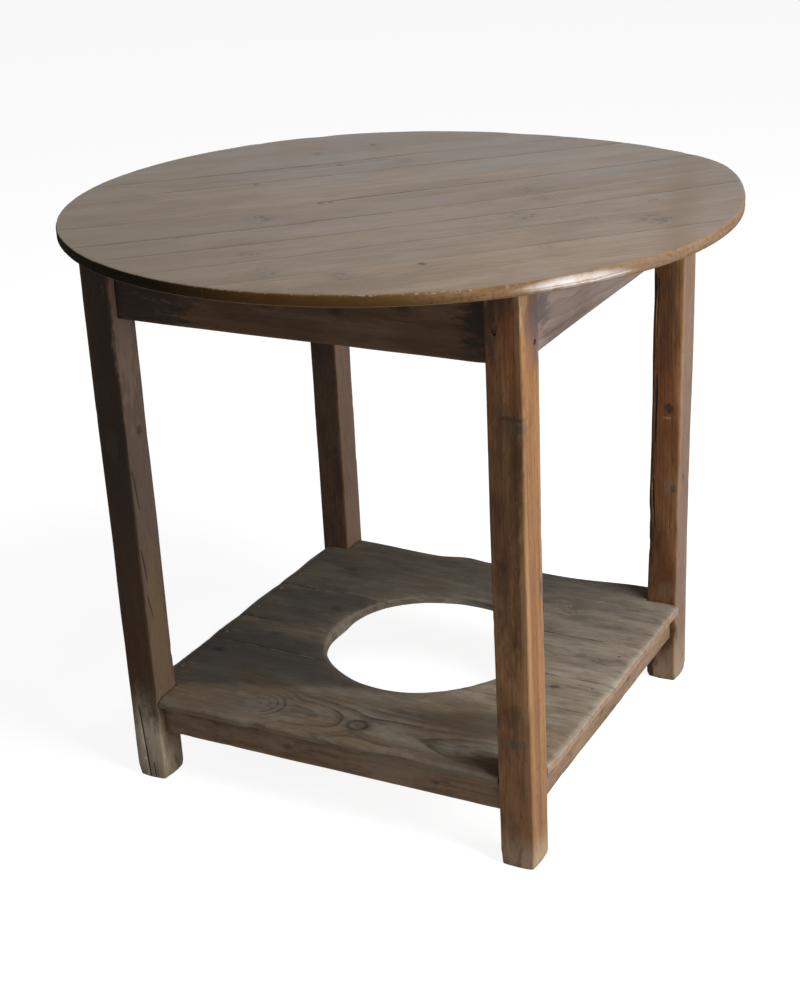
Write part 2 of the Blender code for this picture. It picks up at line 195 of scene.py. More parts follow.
class Timber(Finish):
    """Wood whose grain runs along the first of its own three coordinates."""

    def __init__(self, name, turn, seed):
        super().__init__(name)
        self.turn = Euler(turn).to_matrix()
        self.seed = Vector((3.71 * seed, 1.93 * seed, 5.37 * seed))
        self.room = self.node("TexCoord", output=3)
        self.grain = self.node("Mapping", {}, {"Vector": self.room, "Rotation": turn})
        self.along, self.across, self.deep = self.parts(self.grain)
        self.east, self.north, self.height = self.parts(self.room)
        self.radius = None

    def parts(self, vector):
        made = self.tree.nodes.new("ShaderNodeSeparateXYZ")
        self.tree.links.new(vector.socket, made.inputs[0])
        return [Link(self, output) for output in made.outputs]

    def noise(self, along, across, deep=None, shift=0.0, detail=2.0, rough=0.55):
        """Noise by how often it changes along, across and into the grain."""
        place = self.seed + Vector((shift, 2.0 * shift, 3.0 * shift))
        often = (along, across, deep or across)
        spread = self.node("Mapping", {}, {"Vector": self.grain, "Location": place, "Scale": often})
        return self.node(
            "TexNoise", {}, {"Vector": spread, "Scale": 1.0, "Detail": detail, "Roughness": rough},
        )

    def away(self, point, size):
        """Distance from a point of the table, in sizes along, across and into the grain."""
        middle = self.turn @ Vector(point)
        scale = Vector([1.0 / length for length in size])
        place = Vector([-m * s for m, s in zip(middle, scale)])
        moved = self.node("Mapping", {}, {"Vector": self.grain, "Location": place, "Scale": scale})
        return self.node("VectorMath", {"operation": "LENGTH"}, {0: moved}, output=1)

    def start_rings(self, pith, lean, wander, dip=0.0):
        """Distance from a pith that runs along the grain, leaning and wandering a little."""
        side = (self.noise(2.2, 9.0) - 0.5) * wander
        rise = (self.noise(2.2, 9.0, shift=4.1) - 0.5) * wander
        flat = self.across + self.along * lean[0] + side - pith[0]
        tall = self.deep + self.along * lean[1] + rise + dip - pith[1]
        self.radius = (flat * flat + tall * tall).root()

    def swerve(self, away, size):
        """Rings swell round a knot."""
        self.radius = self.radius + (away * 0.42).fade() * size

    def late_wood(self, spacing, sharp=2.0, least=0.25):
        """The dark line that ends each year's ring, stronger in some years."""
        years = self.radius / spacing
        step = years.fraction()
        luck = self.node("TexWhiteNoise", {"noise_dimensions": "1D"}, {"W": years.whole()})
        return step ** sharp * step.ease(1.0, 0.88) * (luck * (1.0 - least) + least)

    def facing(self):
        """How far the surface faces east, north and up."""
        return self.parts(self.node("NewGeometry", output=1))

    def bump(self, relief, depth):
        return self.node("Bump", {}, {"Strength": 1.0, "Distance": depth, "Height": relief})

    def done(self, rough, relief, depth, **others):
        """Hand the colour, the roughness and the relief to the shader."""
        return self.give(Base_Color=self.colour, Roughness=rough, Normal=self.bump(relief, depth), **others)


# Where a knot is, its width, how dark it is, its length in widths, and if one clear ring bounds it
Knot = namedtuple("Knot", "point size dark long ringed", defaults=(0.8, 1.5, False))

# Knots smaller than this have a black heart
SMALL_KNOT = 0.009


def knots_in(wood, knots):
    """Bend the rings round the knots. Gives masks of their fine dark lines and of the smudge round them."""
    lines = []
    smudge = []
    fine = 1.0 / max(knot.size for knot in knots)
    coarse = (wood.noise(0.8 * fine, 1.2 * fine, shift=8.3, detail=4.0) - 0.5) * 2.6
    swirl = wood.noise(0.9 * fine, 0.9 * fine, shift=10.9, detail=3.0) * 4.0
    squiggle = abs(swirl.fraction() - 0.5).ease(0.24, 0.09)
    for knot in knots:
        away = wood.away(knot.point, (knot.size * knot.long, knot.size, knot.size))
        if knot.ringed:
            wood.swerve(away, knot.size * 0.6)
            here = abs(away + coarse * 0.10 - 1.0).ease(0.34, 0.06) * knot.dark
        else:
            wood.swerve(away, knot.size * 1.3)
            here = squiggle * (away + coarse * 0.5).ease(1.6, 0.9) * knot.dark
            if knot.size < SMALL_KNOT:
                here = here.most((away + coarse * 0.30).ease(1.10, 0.60) * knot.dark)
        wide = wood.away(knot.point, (knot.size * knot.long * 2.6, knot.size * 2.1, knot.size * 2.1))
        lines.append(here)
        smudge.append((wide + coarse * 0.50).ease(1.15, 0.15) * knot.dark)
    return most_of(lines), most_of(smudge)


def lay_stains(wood, stains):
    """Ragged patches: each is a point, sizes along, across and into the grain, strength, colour."""
    ragged = (wood.noise(40.0, 130.0, shift=6.7, detail=5.0, rough=0.65) - 0.5) * 2.6
    for point, size, strength, tint in stains:
        wood.lay((wood.away(point, size) + ragged).ease(1.15, 0.45) * strength, tint)


def most_of(masks):
    """The strongest of several masks."""
    return functools.reduce(Link.most, masks)


def toned(tint, tone):
    return tuple(tone * value for value in tint)


# Mesh work

def merged_copy(node):
    bm = bmesh.new()
    bm.from_mesh(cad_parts[node].data)
    bmesh.ops.remove_doubles(bm, verts=bm.verts[:], dist=0.00001)
    bmesh.ops.dissolve_limit(
        bm, angle_limit=math.radians(0.4), verts=bm.verts[:], edges=bm.edges[:],
        use_dissolve_boundaries=False,
    )
    return bm


def steps(start, end, spacing):
    count = max(1, round((end - start) / spacing))
    return [start + (end - start) * (number + 0.5) / count for number in range(count)]


def slice_across(bm, way, places):
    for place in places:
        whole = bm.verts[:] + bm.edges[:] + bm.faces[:]
        bmesh.ops.bisect_plane(bm, geom=whole, dist=0.000001, plane_co=way * place, plane_no=way)


def ease_edges(bm, wanted, offset, segments):
    edges = [edge for edge in bm.edges if wanted(edge)]
    bmesh.ops.bevel(
        bm, geom=edges, offset=offset, affect="EDGES", segments=segments, profile=0.5, material=-1,
    )


def shift_vertices(bm, shift):
    bm.normal_update()
    moves = [(vert, shift(vert.co.copy(), vert.normal.copy())) for vert in bm.verts]
    for vert, move in moves:
        vert.co += move


def round_top(point, waves):
    """Sum of the waves of the rim in a point's direction: each has a direction, a width and a size."""
    turn = math.degrees(math.atan2(point.y, point.x))
    total = 0.0
    for middle, width, size in waves:
        off = (turn - middle + 180.0) % 360.0 - 180.0
        total += size * math.exp(-(off / width) ** 2)
    return total


def warp(point):
    """The planks have curled at their ends, and the head of the frame follows them."""
    out = (point.x ** 2 + point.y ** 2) / RIM_RADIUS ** 2
    return UP * out * round_top(point, RIM_LIFTS) * smooth(point.z, WARP_START, TOP_UNDERSIDE)


def lean(point):
    """Legs that are out of plumb take what is joined to them along, and the nearest one is stouter."""
    move = Vector()
    if point.z > FRAME_TOP:
        return move
    for middle, head, foot in LEG_LEANS:
        near = math.exp(-((point.xy - middle).length / LEAN_REACH) ** 2)
        move += (foot + (head - foot) * smooth(point.z, LEAN_LOW, LEAN_HIGH)) * near
    move.x += STOUT * smooth(point.x, *STOUT_EAST) * smooth(point.y, *NEAR_SOUTH)
    move.y -= STOUT * smooth(point.y, *STOUT_SOUTH) * smooth(point.x, *NEAR_EAST)
    return move


def sway(point):
    """The gentle unevenness of hand-planed stock, the same for all pieces so that they still fit."""
    return noise.noise_vector(point * SWAY_SCALE) * SWAY_SIZE + warp(point) + lean(point)


def ripple(point, scale, seed):
    """Noise from about -1 to 1."""
    stretched = Vector((point.x * scale[0], point.y * scale[1], point.z * scale[2]))
    return noise.noise(stretched + Vector((seed * 7.3, seed * 3.1, seed * 5.9)))


def smooth(value, start, end):
    share = min(1.0, max(0.0, (value - start) / (end - start)))
    return share * share * (3.0 - 2.0 * share)


def put_in_scene(bm, name, material):
    for face in bm.faces:
        face.material_index = 0
    mesh = bpy.data.meshes.new(name)
    bm.to_mesh(mesh)
    bm.free()
    mesh.shade_smooth()
    mesh.set_sharp_from_angle(angle=SHARP_TURN)
    mesh.materials.append(material)
    piece = bpy.data.objects.new(name, mesh)
    bpy.context.scene.collection.objects.link(piece)
    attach(piece, "root")
    return piece


def dress(bm, name, node, slot, material):
    piece = put_in_scene(bm, name, material)
    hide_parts(node)


# Legs

LEG_TURN = (0.0, math.pi / 2, 0.0)
LEG_COLUMNS = (-0.013, -0.0045, 0.0045, 0.013)
LEG_WAVE = 0.0004

# How far in from an arris its wear reaches, how deep it is all along, in hollows and in chips
ARRIS_REACH = 0.011
ARRIS_WORN = 0.0001
ARRIS_HOLLOW = 0.0006
ARRIS_CHIP = 0.0007

# The arris of one leg that lies in the outer wood of its tree
WANE_LEG = "back_right"
WANE_REACH = 0.015
WANE_WORN = 0.0002
WANE_HOLLOW = 0.0010

# Feet are chipped and rounded: how high up the mesh is finer for it, and how deep both are
FOOT_ZONE = 0.06
FOOT_CHIP = 0.0030
FOOT_ROUND = 0.0011

# How far to both sides of a crack the leg's face is cut, how far off that face a cut may be, and over what
# length the dark of a crack fades at its ends
CRACK_ROOM = 0.020
FACE_ROOM = 0.003
CRACK_END = 0.004

# Cracks in the left and right legs: face, lowest and highest point across and up, width, depth
CRACKS = {
    "front_left": (
        ("front", (-0.2840, -0.002), (-0.2925, 0.114), 0.0022, 0.0050),
        ("front", (-0.2755, -0.002), (-0.2775, 0.026), 0.0018, 0.0035),
        ("right", (-0.2893, 0.413), (-0.2965, 0.470), 0.0022, 0.0045),
        ("right", (-0.2900, 0.310), (-0.2965, 0.356), 0.0022, 0.0045),
        ("right", (-0.2870, 0.254), (-0.2935, 0.288), 0.0016, 0.0030),
    ),
    "back_right": (
        ("front", (0.2690, 0.250), (0.2655, 0.330), 0.0020, 0.0045),
        ("front", (0.2670, 0.385), (0.2690, 0.490), 0.0024, 0.0055),
        ("front", (0.2660, 0.545), (0.2680, 0.640), 0.0022, 0.0050),
    ),
}


def leg_middle(corner):
    low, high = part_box("leg_" + corner)
    return (low + high) / 2, (high - low) / 2


def groove(bm, middle, half, crack):
    """A crack: three cuts down one face of a leg, the middle one pushed into the wood."""
    side, low, high, width, depth = crack
    inward = NORTH if side == "front" else -EAST
    spread = EAST if side == "front" else NORTH
    face_at = middle - inward * (half.y if side == "front" else half.x)
    start = spread * low[0] + UP * low[1]
    end = spread * high[0] + UP * high[1]
    line = (end - start).normalized()
    across = line.cross(inward)

    def near_crack(face):
        centre = face.calc_center_median()
        level = low[1] < centre.z < high[1]
        beside = abs((centre - start).dot(across)) < CRACK_ROOM
        on_face = abs((centre - face_at).dot(inward)) < FACE_ROOM
        return face.normal.dot(inward) < -0.8 and level and beside and on_face

    for offset in (-width / 2, width / 2, 0.0):
        faces = [face for face in bm.faces if near_crack(face)]
        edges = list(dict.fromkeys(edge for face in faces for edge in face.edges))
        verts = list(dict.fromkeys(vert for face in faces for vert in face.verts))
        cut = bmesh.ops.bisect_plane(
            bm, geom=verts + edges + faces, dist=0.000001,
            plane_co=start + across * offset, plane_no=across,
        )["geom_cut"]
        bm.normal_update()
    for item in cut:
        if isinstance(item, bmesh.types.BMVert):
            rise = item.co.z
            taper = smooth(rise, high[1] + 0.002, high[1] - 0.030)
            if low[1] > 0.01:
                taper *= smooth(rise, low[1] - 0.002, low[1] + 0.025)
            item.co += inward * depth * taper


def arris_wear(corner, point, east, north):
    """How deep the nearest arris of a leg is worn, and how far in that reaches."""
    seed = CORNERS.index(corner) + 1 + 2.0 * (east > 0) + 5.0 * (north > 0)
    wear = ARRIS_WORN + ARRIS_HOLLOW * max(0.0, ripple(point, (0.0, 0.0, 11.0), seed))
    wear += ARRIS_CHIP * smooth(ripple(point, (0.0, 0.0, 34.0), seed + 9.0), 0.40, 0.62)
    if corner != WANE_LEG or east >= 0 or north >= 0:
        return wear, ARRIS_REACH
    along = smooth(point.z, 0.14, 0.20) * smooth(point.z, 0.77, 0.72)
    hollow = max(0.0, 0.45 + ripple(point, (0.0, 0.0, 19.0), 3.0))
    return wear + along * (WANE_WORN + WANE_HOLLOW * hollow), WANE_REACH


def leg_shift(corner):
    middle, half = leg_middle(corner)
    seed = CORNERS.index(corner) + 1

    def shift(point, normal):
        east = point.x - middle.x
        north = point.y - middle.y
        gap = half.x - abs(east) + half.y - abs(north)
        inward = -Vector((math.copysign(1.0, east), math.copysign(1.0, north), 0.0))
        wear, reach = arris_wear(corner, point, east, north)
        move = inward * wear * max(0.0, 1.0 - gap / reach)
        foot = smooth(point.z, 0.030, 0.0)
        chip = max(0.0, ripple(point, (70.0, 70.0, 60.0), seed + 0.5) + 0.1)
        move += inward * foot * chip * FOOT_CHIP * max(0.0, 1.0 - gap / 0.022)
        move += inward * FOOT_ROUND * smooth(point.z, 0.010, 0.0) * max(0.0, 1.0 - gap / 0.026)
        face = ripple(point, (40.0, 40.0, 13.0), seed + 4.0) * LEG_WAVE
        move += sway(point) - normal * face
        move.z = max(move.z, -point.z)
        return move

    return shift


def make_leg(corner):
    node = "leg_" + corner
    middle, half = leg_middle(corner)
    bm = merged_copy(node)
    slice_across(bm, EAST, [middle.x + column for column in LEG_COLUMNS])
    slice_across(bm, NORTH, [middle.y + column for column in LEG_COLUMNS])
    slice_across(bm, UP, steps(0.0, FOOT_ZONE, 0.006) + steps(FOOT_ZONE, TOP_UNDERSIDE, 0.010))
    bm.normal_update()
    for crack in CRACKS.get(corner, ()):
        groove(bm, middle, half, crack)
    shift_vertices(bm, leg_shift(corner))
    dress(bm, "waxed_" + node, node, "leg_pine", leg_finish(corner))


LEG_LIGHT = (0.480, 0.240, 0.092)
LEG_MID = (0.330, 0.150, 0.056)
LEG_RED = (0.300, 0.108, 0.040)
LEG_DARK = (0.078, 0.037, 0.018)
LEG_WORN = (0.540, 0.310, 0.140)
GREY_KNOT = (0.185, 0.136, 0.086)
GREY_BLOOM = (0.250, 0.180, 0.120)
MAUVE = (0.150, 0.108, 0.100)
DARK_STAIN_AND_SHADE = (0.035, 0.024, 0.018)
CRACK_BLACK = (0.018, 0.012, 0.009)
ARRIS_WEAR_AND_HIGHLIGHT = (0.620, 0.450, 0.300)
FOOT_PALE = (0.570, 0.446, 0.300)
FOOT_DUST = (0.820, 0.690, 0.520)
PINK_GREY = (0.330, 0.230, 0.178)
PALE_ROSE = (0.350, 0.228, 0.165)
DULL_GOLD = (0.255, 0.172, 0.086)
LEG_SHADE = (0.034, 0.020, 0.012)
LEAST_GREY_TONE = 0.63

# Tone of a leg, how grey its front is, how dark its front is painted as shade, how grey its right face is
# (painted sheen), how pale its foot is on both (pale wood with painted light from the floor), and how high
# that reaches
LegLook = namedtuple("LegLook", "tone front_grey front_dark side_grey front_fade side_fade fade_top")
LEG_LOOKS = {
    "front_left": LegLook(0.42, 0.06, 0.92, 0.85, 1.35, 1.10, 0.150),
    "front_right": LegLook(0.96, 0.00, 0.00, 0.00, 0.66, 0.60, 0.062),
    "back_right": LegLook(0.88, 0.00, 0.00, 0.72, 0.50, 0.42, 0.095),
    "back_left": LegLook(0.88, 0.60, 0.82, 0.72, 0.60, 0.60, 0.095),
}

# Front faces of the front and the back legs, and the right face of the right ones
FRONT_FACE = -0.2995
BACK_LEGS_FACE = 0.2515
RIGHT_FACE = 0.3060

LEG_KNOTS = {
    "front_left": [Knot((-0.2605, -0.271, 0.521), 0.006), Knot((-0.287, -0.299, 0.507), 0.006, 0.6)],
    "front_right": [
        Knot((0.3000, -0.2980, 0.604), 0.005, 0.6), Knot((RIGHT_FACE, -0.260, 0.388), 0.006, 0.5),
        Knot((0.2850, FRONT_FACE, 0.183), 0.005, 0.45), Knot((0.2770, FRONT_FACE, 0.425), 0.005, 0.45),
    ],
    "back_right": [
        Knot((0.2960, BACK_LEGS_FACE, 0.316), 0.004, 0.6), Knot((0.2650, BACK_LEGS_FACE, 0.620), 0.006, 1.0),
        Knot((RIGHT_FACE, 0.270, 0.330), 0.005, 0.6),
    ],
    "back_left": [
        Knot((-0.272, BACK_LEGS_FACE, 0.300), 0.005, 0.6), Knot((-0.260, 0.280, 0.560), 0.005, 0.7),
    ],
}
LEG_STAINS = {
    "front_left": [
        ((-0.283, FRONT_FACE, 0.050), (0.056, 0.014, 0.032), 0.70, FOOT_DUST),
        ((-0.260, -0.278, 0.690), (0.150, 0.030, 0.008), 0.65, PALE_ROSE),
        ((-0.260, -0.276, 0.220), (0.150, 0.022, 0.008), 0.60, DULL_GOLD),
    ],
    "front_right": [
        ((0.2960, FRONT_FACE, 0.606), (0.011, 0.018, 0.020), 0.55, GREY_KNOT),
        ((0.2960, FRONT_FACE, 0.616), (0.003, 0.018, 0.020), 0.60, LEG_DARK),
        ((0.2830, FRONT_FACE, 0.500), (0.200, 0.012, 0.050), 0.40, LEG_DARK),
        # Dark head under the top: painted shadow
        ((0.2760, FRONT_FACE, 0.756), (0.036, 0.020, 0.020), 0.55, DARK_STAIN_AND_SHADE),
        ((0.2960, FRONT_FACE, 0.725), (0.030, 0.010, 0.012), 0.45, LEG_RED),
        ((RIGHT_FACE, FRONT_FACE, 0.380), (0.190, 0.0085, 0.0085), 0.55, LEG_WORN),
        # Pale line along the head's arris: worn wood with a painted highlight
        ((0.3065, -0.3000, 0.748), (0.030, 0.0022, 0.0022), 0.80, ARRIS_WEAR_AND_HIGHLIGHT),
        ((RIGHT_FACE, -0.256, 0.385), (0.016, 0.011, 0.011), 0.60, GREY_KNOT),
        ((0.2820, FRONT_FACE, 0.184), (0.007, 0.010, 0.022), 0.65, GREY_KNOT),
        ((0.2760, FRONT_FACE, 0.424), (0.014, 0.008, 0.008), 0.40, LEG_DARK),
        ((0.2985, FRONT_FACE, 0.568), (0.034, 0.009, 0.009), 0.65, LEG_DARK),
        ((0.2720, FRONT_FACE, 0.500), (0.026, 0.009, 0.012), 0.45, LEG_DARK),
        ((0.2900, FRONT_FACE, 0.330), (0.060, 0.007, 0.014), 0.25, LEG_DARK),
        # Dark head under the top: painted shadow
        ((0.2660, FRONT_FACE, 0.735), (0.060, 0.012, 0.014), 0.60, DARK_STAIN_AND_SHADE),
        ((RIGHT_FACE, -0.251, 0.730), (0.060, 0.044, 0.022), 0.90, MAUVE),
        ((RIGHT_FACE, -0.289, 0.760), (0.020, 0.012, 0.010), 0.70, LEG_WORN),
    ],
    "back_right": [
        ((0.2625, BACK_LEGS_FACE, 0.450), (0.330, 0.010, 0.0052), 0.80, DARK_STAIN_AND_SHADE),
        ((0.2640, BACK_LEGS_FACE, 0.620), (0.024, 0.010, 0.009), 0.85, DARK_STAIN_AND_SHADE),
        ((0.2850, BACK_LEGS_FACE, 0.400), (0.120, 0.010, 0.026), 0.35, LEG_RED),
        ((0.2920, BACK_LEGS_FACE, 0.318), (0.015, 0.011, 0.012), 0.55, GREY_BLOOM),
        ((0.2880, BACK_LEGS_FACE, 0.440), (0.008, 0.008, 0.0075), 0.80, DARK_STAIN_AND_SHADE),
        ((0.2875, BACK_LEGS_FACE, 0.426), (0.003, 0.008, 0.008), 0.80, LEG_WORN),
        ((0.2985, BACK_LEGS_FACE, 0.738), (0.020, 0.012, 0.009), 0.85, DARK_STAIN_AND_SHADE),
        ((0.2850, BACK_LEGS_FACE, 0.150), (0.016, 0.020, 0.020), 0.40, GREY_BLOOM),
        # Dark where the right stretcher meets the leg: painted shadow
        ((0.2860, BACK_LEGS_FACE, 0.078), (0.026, 0.012, 0.026), 0.85, LEG_DARK),
        ((0.2630, BACK_LEGS_FACE, 0.030), (0.050, 0.006, 0.010), 0.90, DARK_STAIN_AND_SHADE),
    ],
    "back_left": [((-0.280, BACK_LEGS_FACE, 0.560), (0.060, 0.016, 0.016), 0.40, DARK_STAIN_AND_SHADE)],
}


def arris_gap(wood, corner):
    """How far a point of a leg is from the nearest long edge, over both faces."""
    middle, half = leg_middle(corner)
    return (half.x + half.y) - abs(wood.east - middle.x) - abs(wood.north - middle.y)


def crack_shade(wood, corner):
    """Dark in the cracks: a line on a face, as wide as the cut."""
    middle, half = leg_middle(corner)
    shades = []
    for side, low, high, width, _ in CRACKS[corner]:
        spread = wood.east if side == "front" else wood.north
        lean = (high[0] - low[0]) / (high[1] - low[1])
        off = abs(spread - wood.height * lean - (low[0] - low[1] * lean))
        at_face = wood.north - (middle.y - half.y) if side == "front" else (middle.x + half.x) - wood.east
        line = off.ease(width * 0.75, width * 0.25) * at_face.ease(0.009, 0.007)
        line = line * wood.height.ease(high[1] + CRACK_END, high[1] - CRACK_END)
        shades.append(line * wood.height.ease(low[1] - CRACK_END, low[1] + CRACK_END))
    return most_of(shades)


def lay_leg_hues(wood, look, gap, shaded, sunny):
    """Gold, red and grey of a leg, under its grain. The extra red on its front faces is painted shade, the
    grey on its right faces painted sheen.
    """
    broad = wood.noise(3.5, 70.0, shift=2.9, detail=4.0)
    hue = wood.noise(5.0, 36.0, shift=12.2, detail=3.0)
    wood.start_colour(broad.ease(0.36, 0.64), toned(LEG_LIGHT, look.tone), toned(LEG_MID, look.tone))
    ruddy = sunny * gap.ease(0.014, 0.034) * 0.35
    wood.lay(hue.ease(0.42, 0.60) * (0.25 + shaded * 0.55) + ruddy, toned(LEG_RED, look.tone))
    grey = shaded * look.front_grey + sunny * look.side_grey
    wood.lay(grey, toned(PINK_GREY, max(look.tone, LEAST_GREY_TONE)))


def lay_foot(wood, look, cloud, mottle, shaded):
    """The pale, dry foot of a leg, paler still with painted light from the floor. Gives the mask of how far
    up it reaches.
    """
    low = (wood.height + (cloud - 0.5) * 1.2 * look.fade_top).ease(look.fade_top, 0.12 * look.fade_top)
    faded = shaded * look.front_fade + (1.0 - shaded) * look.side_fade
    wood.lay(low * faded * (1.0 - mottle.ease(0.50, 0.66) * 0.6), FOOT_PALE)
    return low


def leg_finish(corner):
    wood = Timber("waxed_pine_" + corner, LEG_TURN, 11 + CORNERS.index(corner))
    middle, _ = leg_middle(corner)
    look = LEG_LOOKS[corner]
    wood.start_rings((middle.y + 0.030, -middle.x - 0.045), (0.012, 0.020), 0.010)
    lines, smudge = knots_in(wood, LEG_KNOTS[corner])
    late = wood.late_wood(0.0042)
    streak = wood.noise(7.0, 420.0, shift=1.2, detail=3.0)
    cloud = wood.noise(8.0, 24.0, shift=5.5, detail=5.0, rough=0.62)
    mottle = wood.noise(26.0, 90.0, shift=6.1, detail=5.0, rough=0.68)
    dash = wood.noise(60.0, 520.0, shift=9.6, detail=2.0)
    scuff = wood.noise(30.0, 120.0, shift=3.3, detail=4.0)
    gap = arris_gap(wood, corner)
    facing_east, facing_north, _ = wood.facing()
    shaded = facing_north.ease(-0.45, -0.85)
    lay_leg_hues(wood, look, gap, shaded, facing_east.ease(0.45, 0.85))
    wood.lay(late * 0.22, LEG_DARK)
    # The wood's own streaks, clouds and mottles, made darker on the front faces as painted shade
    wood.lay(streak.ease(0.50, 0.78) * (0.18 + shaded * 0.10), LEG_DARK)
    wood.lay(cloud.ease(0.44, 0.66) * (0.16 + shaded * 0.42), LEG_DARK)
    wood.lay(mottle.ease(0.46, 0.72) * (0.16 + shaded * 0.34), LEG_DARK)
    wood.lay(dash.ease(0.61, 0.70) * 0.55, LEG_DARK)
    # Painted shade: the front faces darker, least down by the foot
    painted_shade = shaded * (0.42 + wood.height.ease(0.14, 0.55) * 0.60) * (1.0 + (cloud - 0.5) * 0.4)
    wood.lay(painted_shade * look.front_dark, LEG_SHADE)
    worn = (gap + (scuff - 0.5) * 0.012).ease(0.0065, 0.0020)
    wood.lay(worn * 0.30, toned(LEG_WORN, look.tone))
    wood.lay(smudge * 0.50, GREY_KNOT)
    low = lay_foot(wood, look, cloud, mottle, shaded)
    lay_stains(wood, LEG_STAINS[corner])
    wood.lay(lines * 0.80, DARK_STAIN_AND_SHADE)
    if corner in CRACKS:
        wood.lay(crack_shade(wood, corner) * 0.9, CRACK_BLACK)
    rough = 0.38 + streak * 0.16 + low * 0.32 - worn * 0.06 + lines * 0.10
    relief = late * 0.4 + streak * 0.6 + scuff * 0.4 - lines * 0.4 - dash.ease(0.60, 0.72) * 0.6
    return wood.done(rough, relief, 0.0006, Specular_IOR_Level=0.32)


# Aprons and stretchers

# A kind of rail: how its pieces and slot are named, how far its edges are rounded, how far apart it is cut
# along its length, how uneven its faces are, and where its random numbers start
Rail = namedtuple("Rail", "prefix slot edge spacing dent seed")
RAILS = {
    "apron": Rail("waxed_", "apron_pine", 0.0016, 0.014, 0.0003, 27),
    "stretcher": Rail("worn_", "stretcher_pine", 0.0022, 0.012, 0.0004, 20),
}
RAIL_NICK = 0.0005
ACROSS_TURN = (0.0, 0.0, -math.pi / 2)
LENGTHWAYS_TURN = (0.0, 0.0, 0.0)


def rail_axis(side):
    return EAST if side in ("front", "back") else NORTH


def make_rail(kind, side, finish):
    node = kind + "_" + side
    rail = RAILS[kind]
    low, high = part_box(node)
    middle = (low + high) / 2
    half_height = (high.z - low.z) / 2
    axis = rail_axis(side)
    half_length = (high - low).dot(axis) * 0.5
    bm = merged_copy(node)
    ease_edges(bm, lambda edge: edge.calc_length() > half_length, rail.edge, 2)
    slice_across(bm, UP, steps(low.z + 0.004, high.z - 0.004, 0.011))
    slice_across(bm, axis, steps(low.dot(axis), high.dot(axis), rail.spacing))
    seed = rail.seed + SIDES.index(side)

    def shift(point, normal):
        face = ripple(point, (16.0, 16.0, 30.0), seed) * rail.dent
        corner = smooth(abs(point.z - middle.z), half_height - 0.007, half_height)
        nick = smooth(ripple(point, (38.0, 38.0, 0.0), seed + 2.0), 0.25, 0.6) * corner
        return sway(point) - normal * (face + nick * RAIL_NICK)

    shift_vertices(bm, shift)
    dress(bm, rail.prefix + node, node, rail.slot, finish(side, low, high))


APRON_LIGHT = (0.300, 0.180, 0.105)
APRON_MID = (0.215, 0.118, 0.064)
APRON_DARK = (0.060, 0.032, 0.019)
APRON_GREY = (0.418, 0.340, 0.312)

# Tone of each apron, how grey it is (on the right apron the grey is painted sheen), and how far its lower
# edge is rubbed
APRON_LOOKS = {
    "front": (0.84, 0.00, 0.20), "right": (1.12, 0.72, 0.05),
    "back": (0.95, 0.20, 0.35), "left": (0.85, 0.15, 0.35),
}

# How far from the middle the outer faces of the aprons are, front and back, right and left
APRON_FACE = 0.2895
APRON_SIDE = 0.296

APRON_KNOTS = {
    "front": [
        Knot((0.150, -APRON_FACE, 0.735), 0.006, 0.7), Knot((-0.040, -APRON_FACE, 0.722), 0.005, 0.6),
        Knot((0.060, -APRON_FACE, 0.720), 0.004, 0.6),
    ],
    "right": [Knot((APRON_SIDE, -0.120, 0.735), 0.006, 0.4), Knot((APRON_SIDE, 0.100, 0.700), 0.006, 0.5)],
    "back": [Knot((-0.110, APRON_FACE, 0.720), 0.006, 0.7), Knot((0.130, APRON_FACE, 0.740), 0.006, 0.7)],
    "left": [Knot((-APRON_SIDE, 0.060, 0.715), 0.007, 0.8), Knot((-APRON_SIDE, -0.150, 0.740), 0.005, 0.6)],
}
APRON_STAINS = {
    "front": [
        # Dark right end beside the nearest leg: a darker stain under painted shadow
        ((0.255, -APRON_FACE, 0.725), (0.035, 0.060, 0.060), 0.85, DARK_STAIN_AND_SHADE),
        ((-0.250, -APRON_FACE, 0.725), (0.120, 0.100, 0.080), 0.90, DARK_STAIN_AND_SHADE),
    ],
    "right": [
        ((APRON_SIDE, -0.228, 0.725), (0.040, 0.026, 0.026), 0.75, MAUVE),
        ((APRON_SIDE, -0.245, 0.690), (0.016, 0.016, 0.016), 0.60, APRON_DARK),
    ],
    "back": [((0.250, APRON_FACE, 0.725), (0.030, 0.060, 0.060), 0.60, DARK_STAIN_AND_SHADE)],
    "left": [((-APRON_SIDE, 0.240, 0.725), (0.030, 0.060, 0.060), 0.60, DARK_STAIN_AND_SHADE)],
}


def rail_wood(name, side, seed, low, high):
    turn = LENGTHWAYS_TURN if side in ("front", "back") else ACROSS_TURN
    wood = Timber(name, turn, seed)
    middle = wood.turn @ ((low + high) / 2)
    wood.start_rings((middle.y + 0.050, middle.z - 0.015), (0.010, 0.028), 0.014)
    return wood


def lay_rubbed_edge(wood, streak, bottom, strength):
    """The lower edge of a rail is rubbed bare."""
    rubbed = (wood.height + (streak - 0.5) * 0.006).ease(bottom + 0.006, bottom + 0.001)
    wood.lay(rubbed * strength, LEG_WORN)


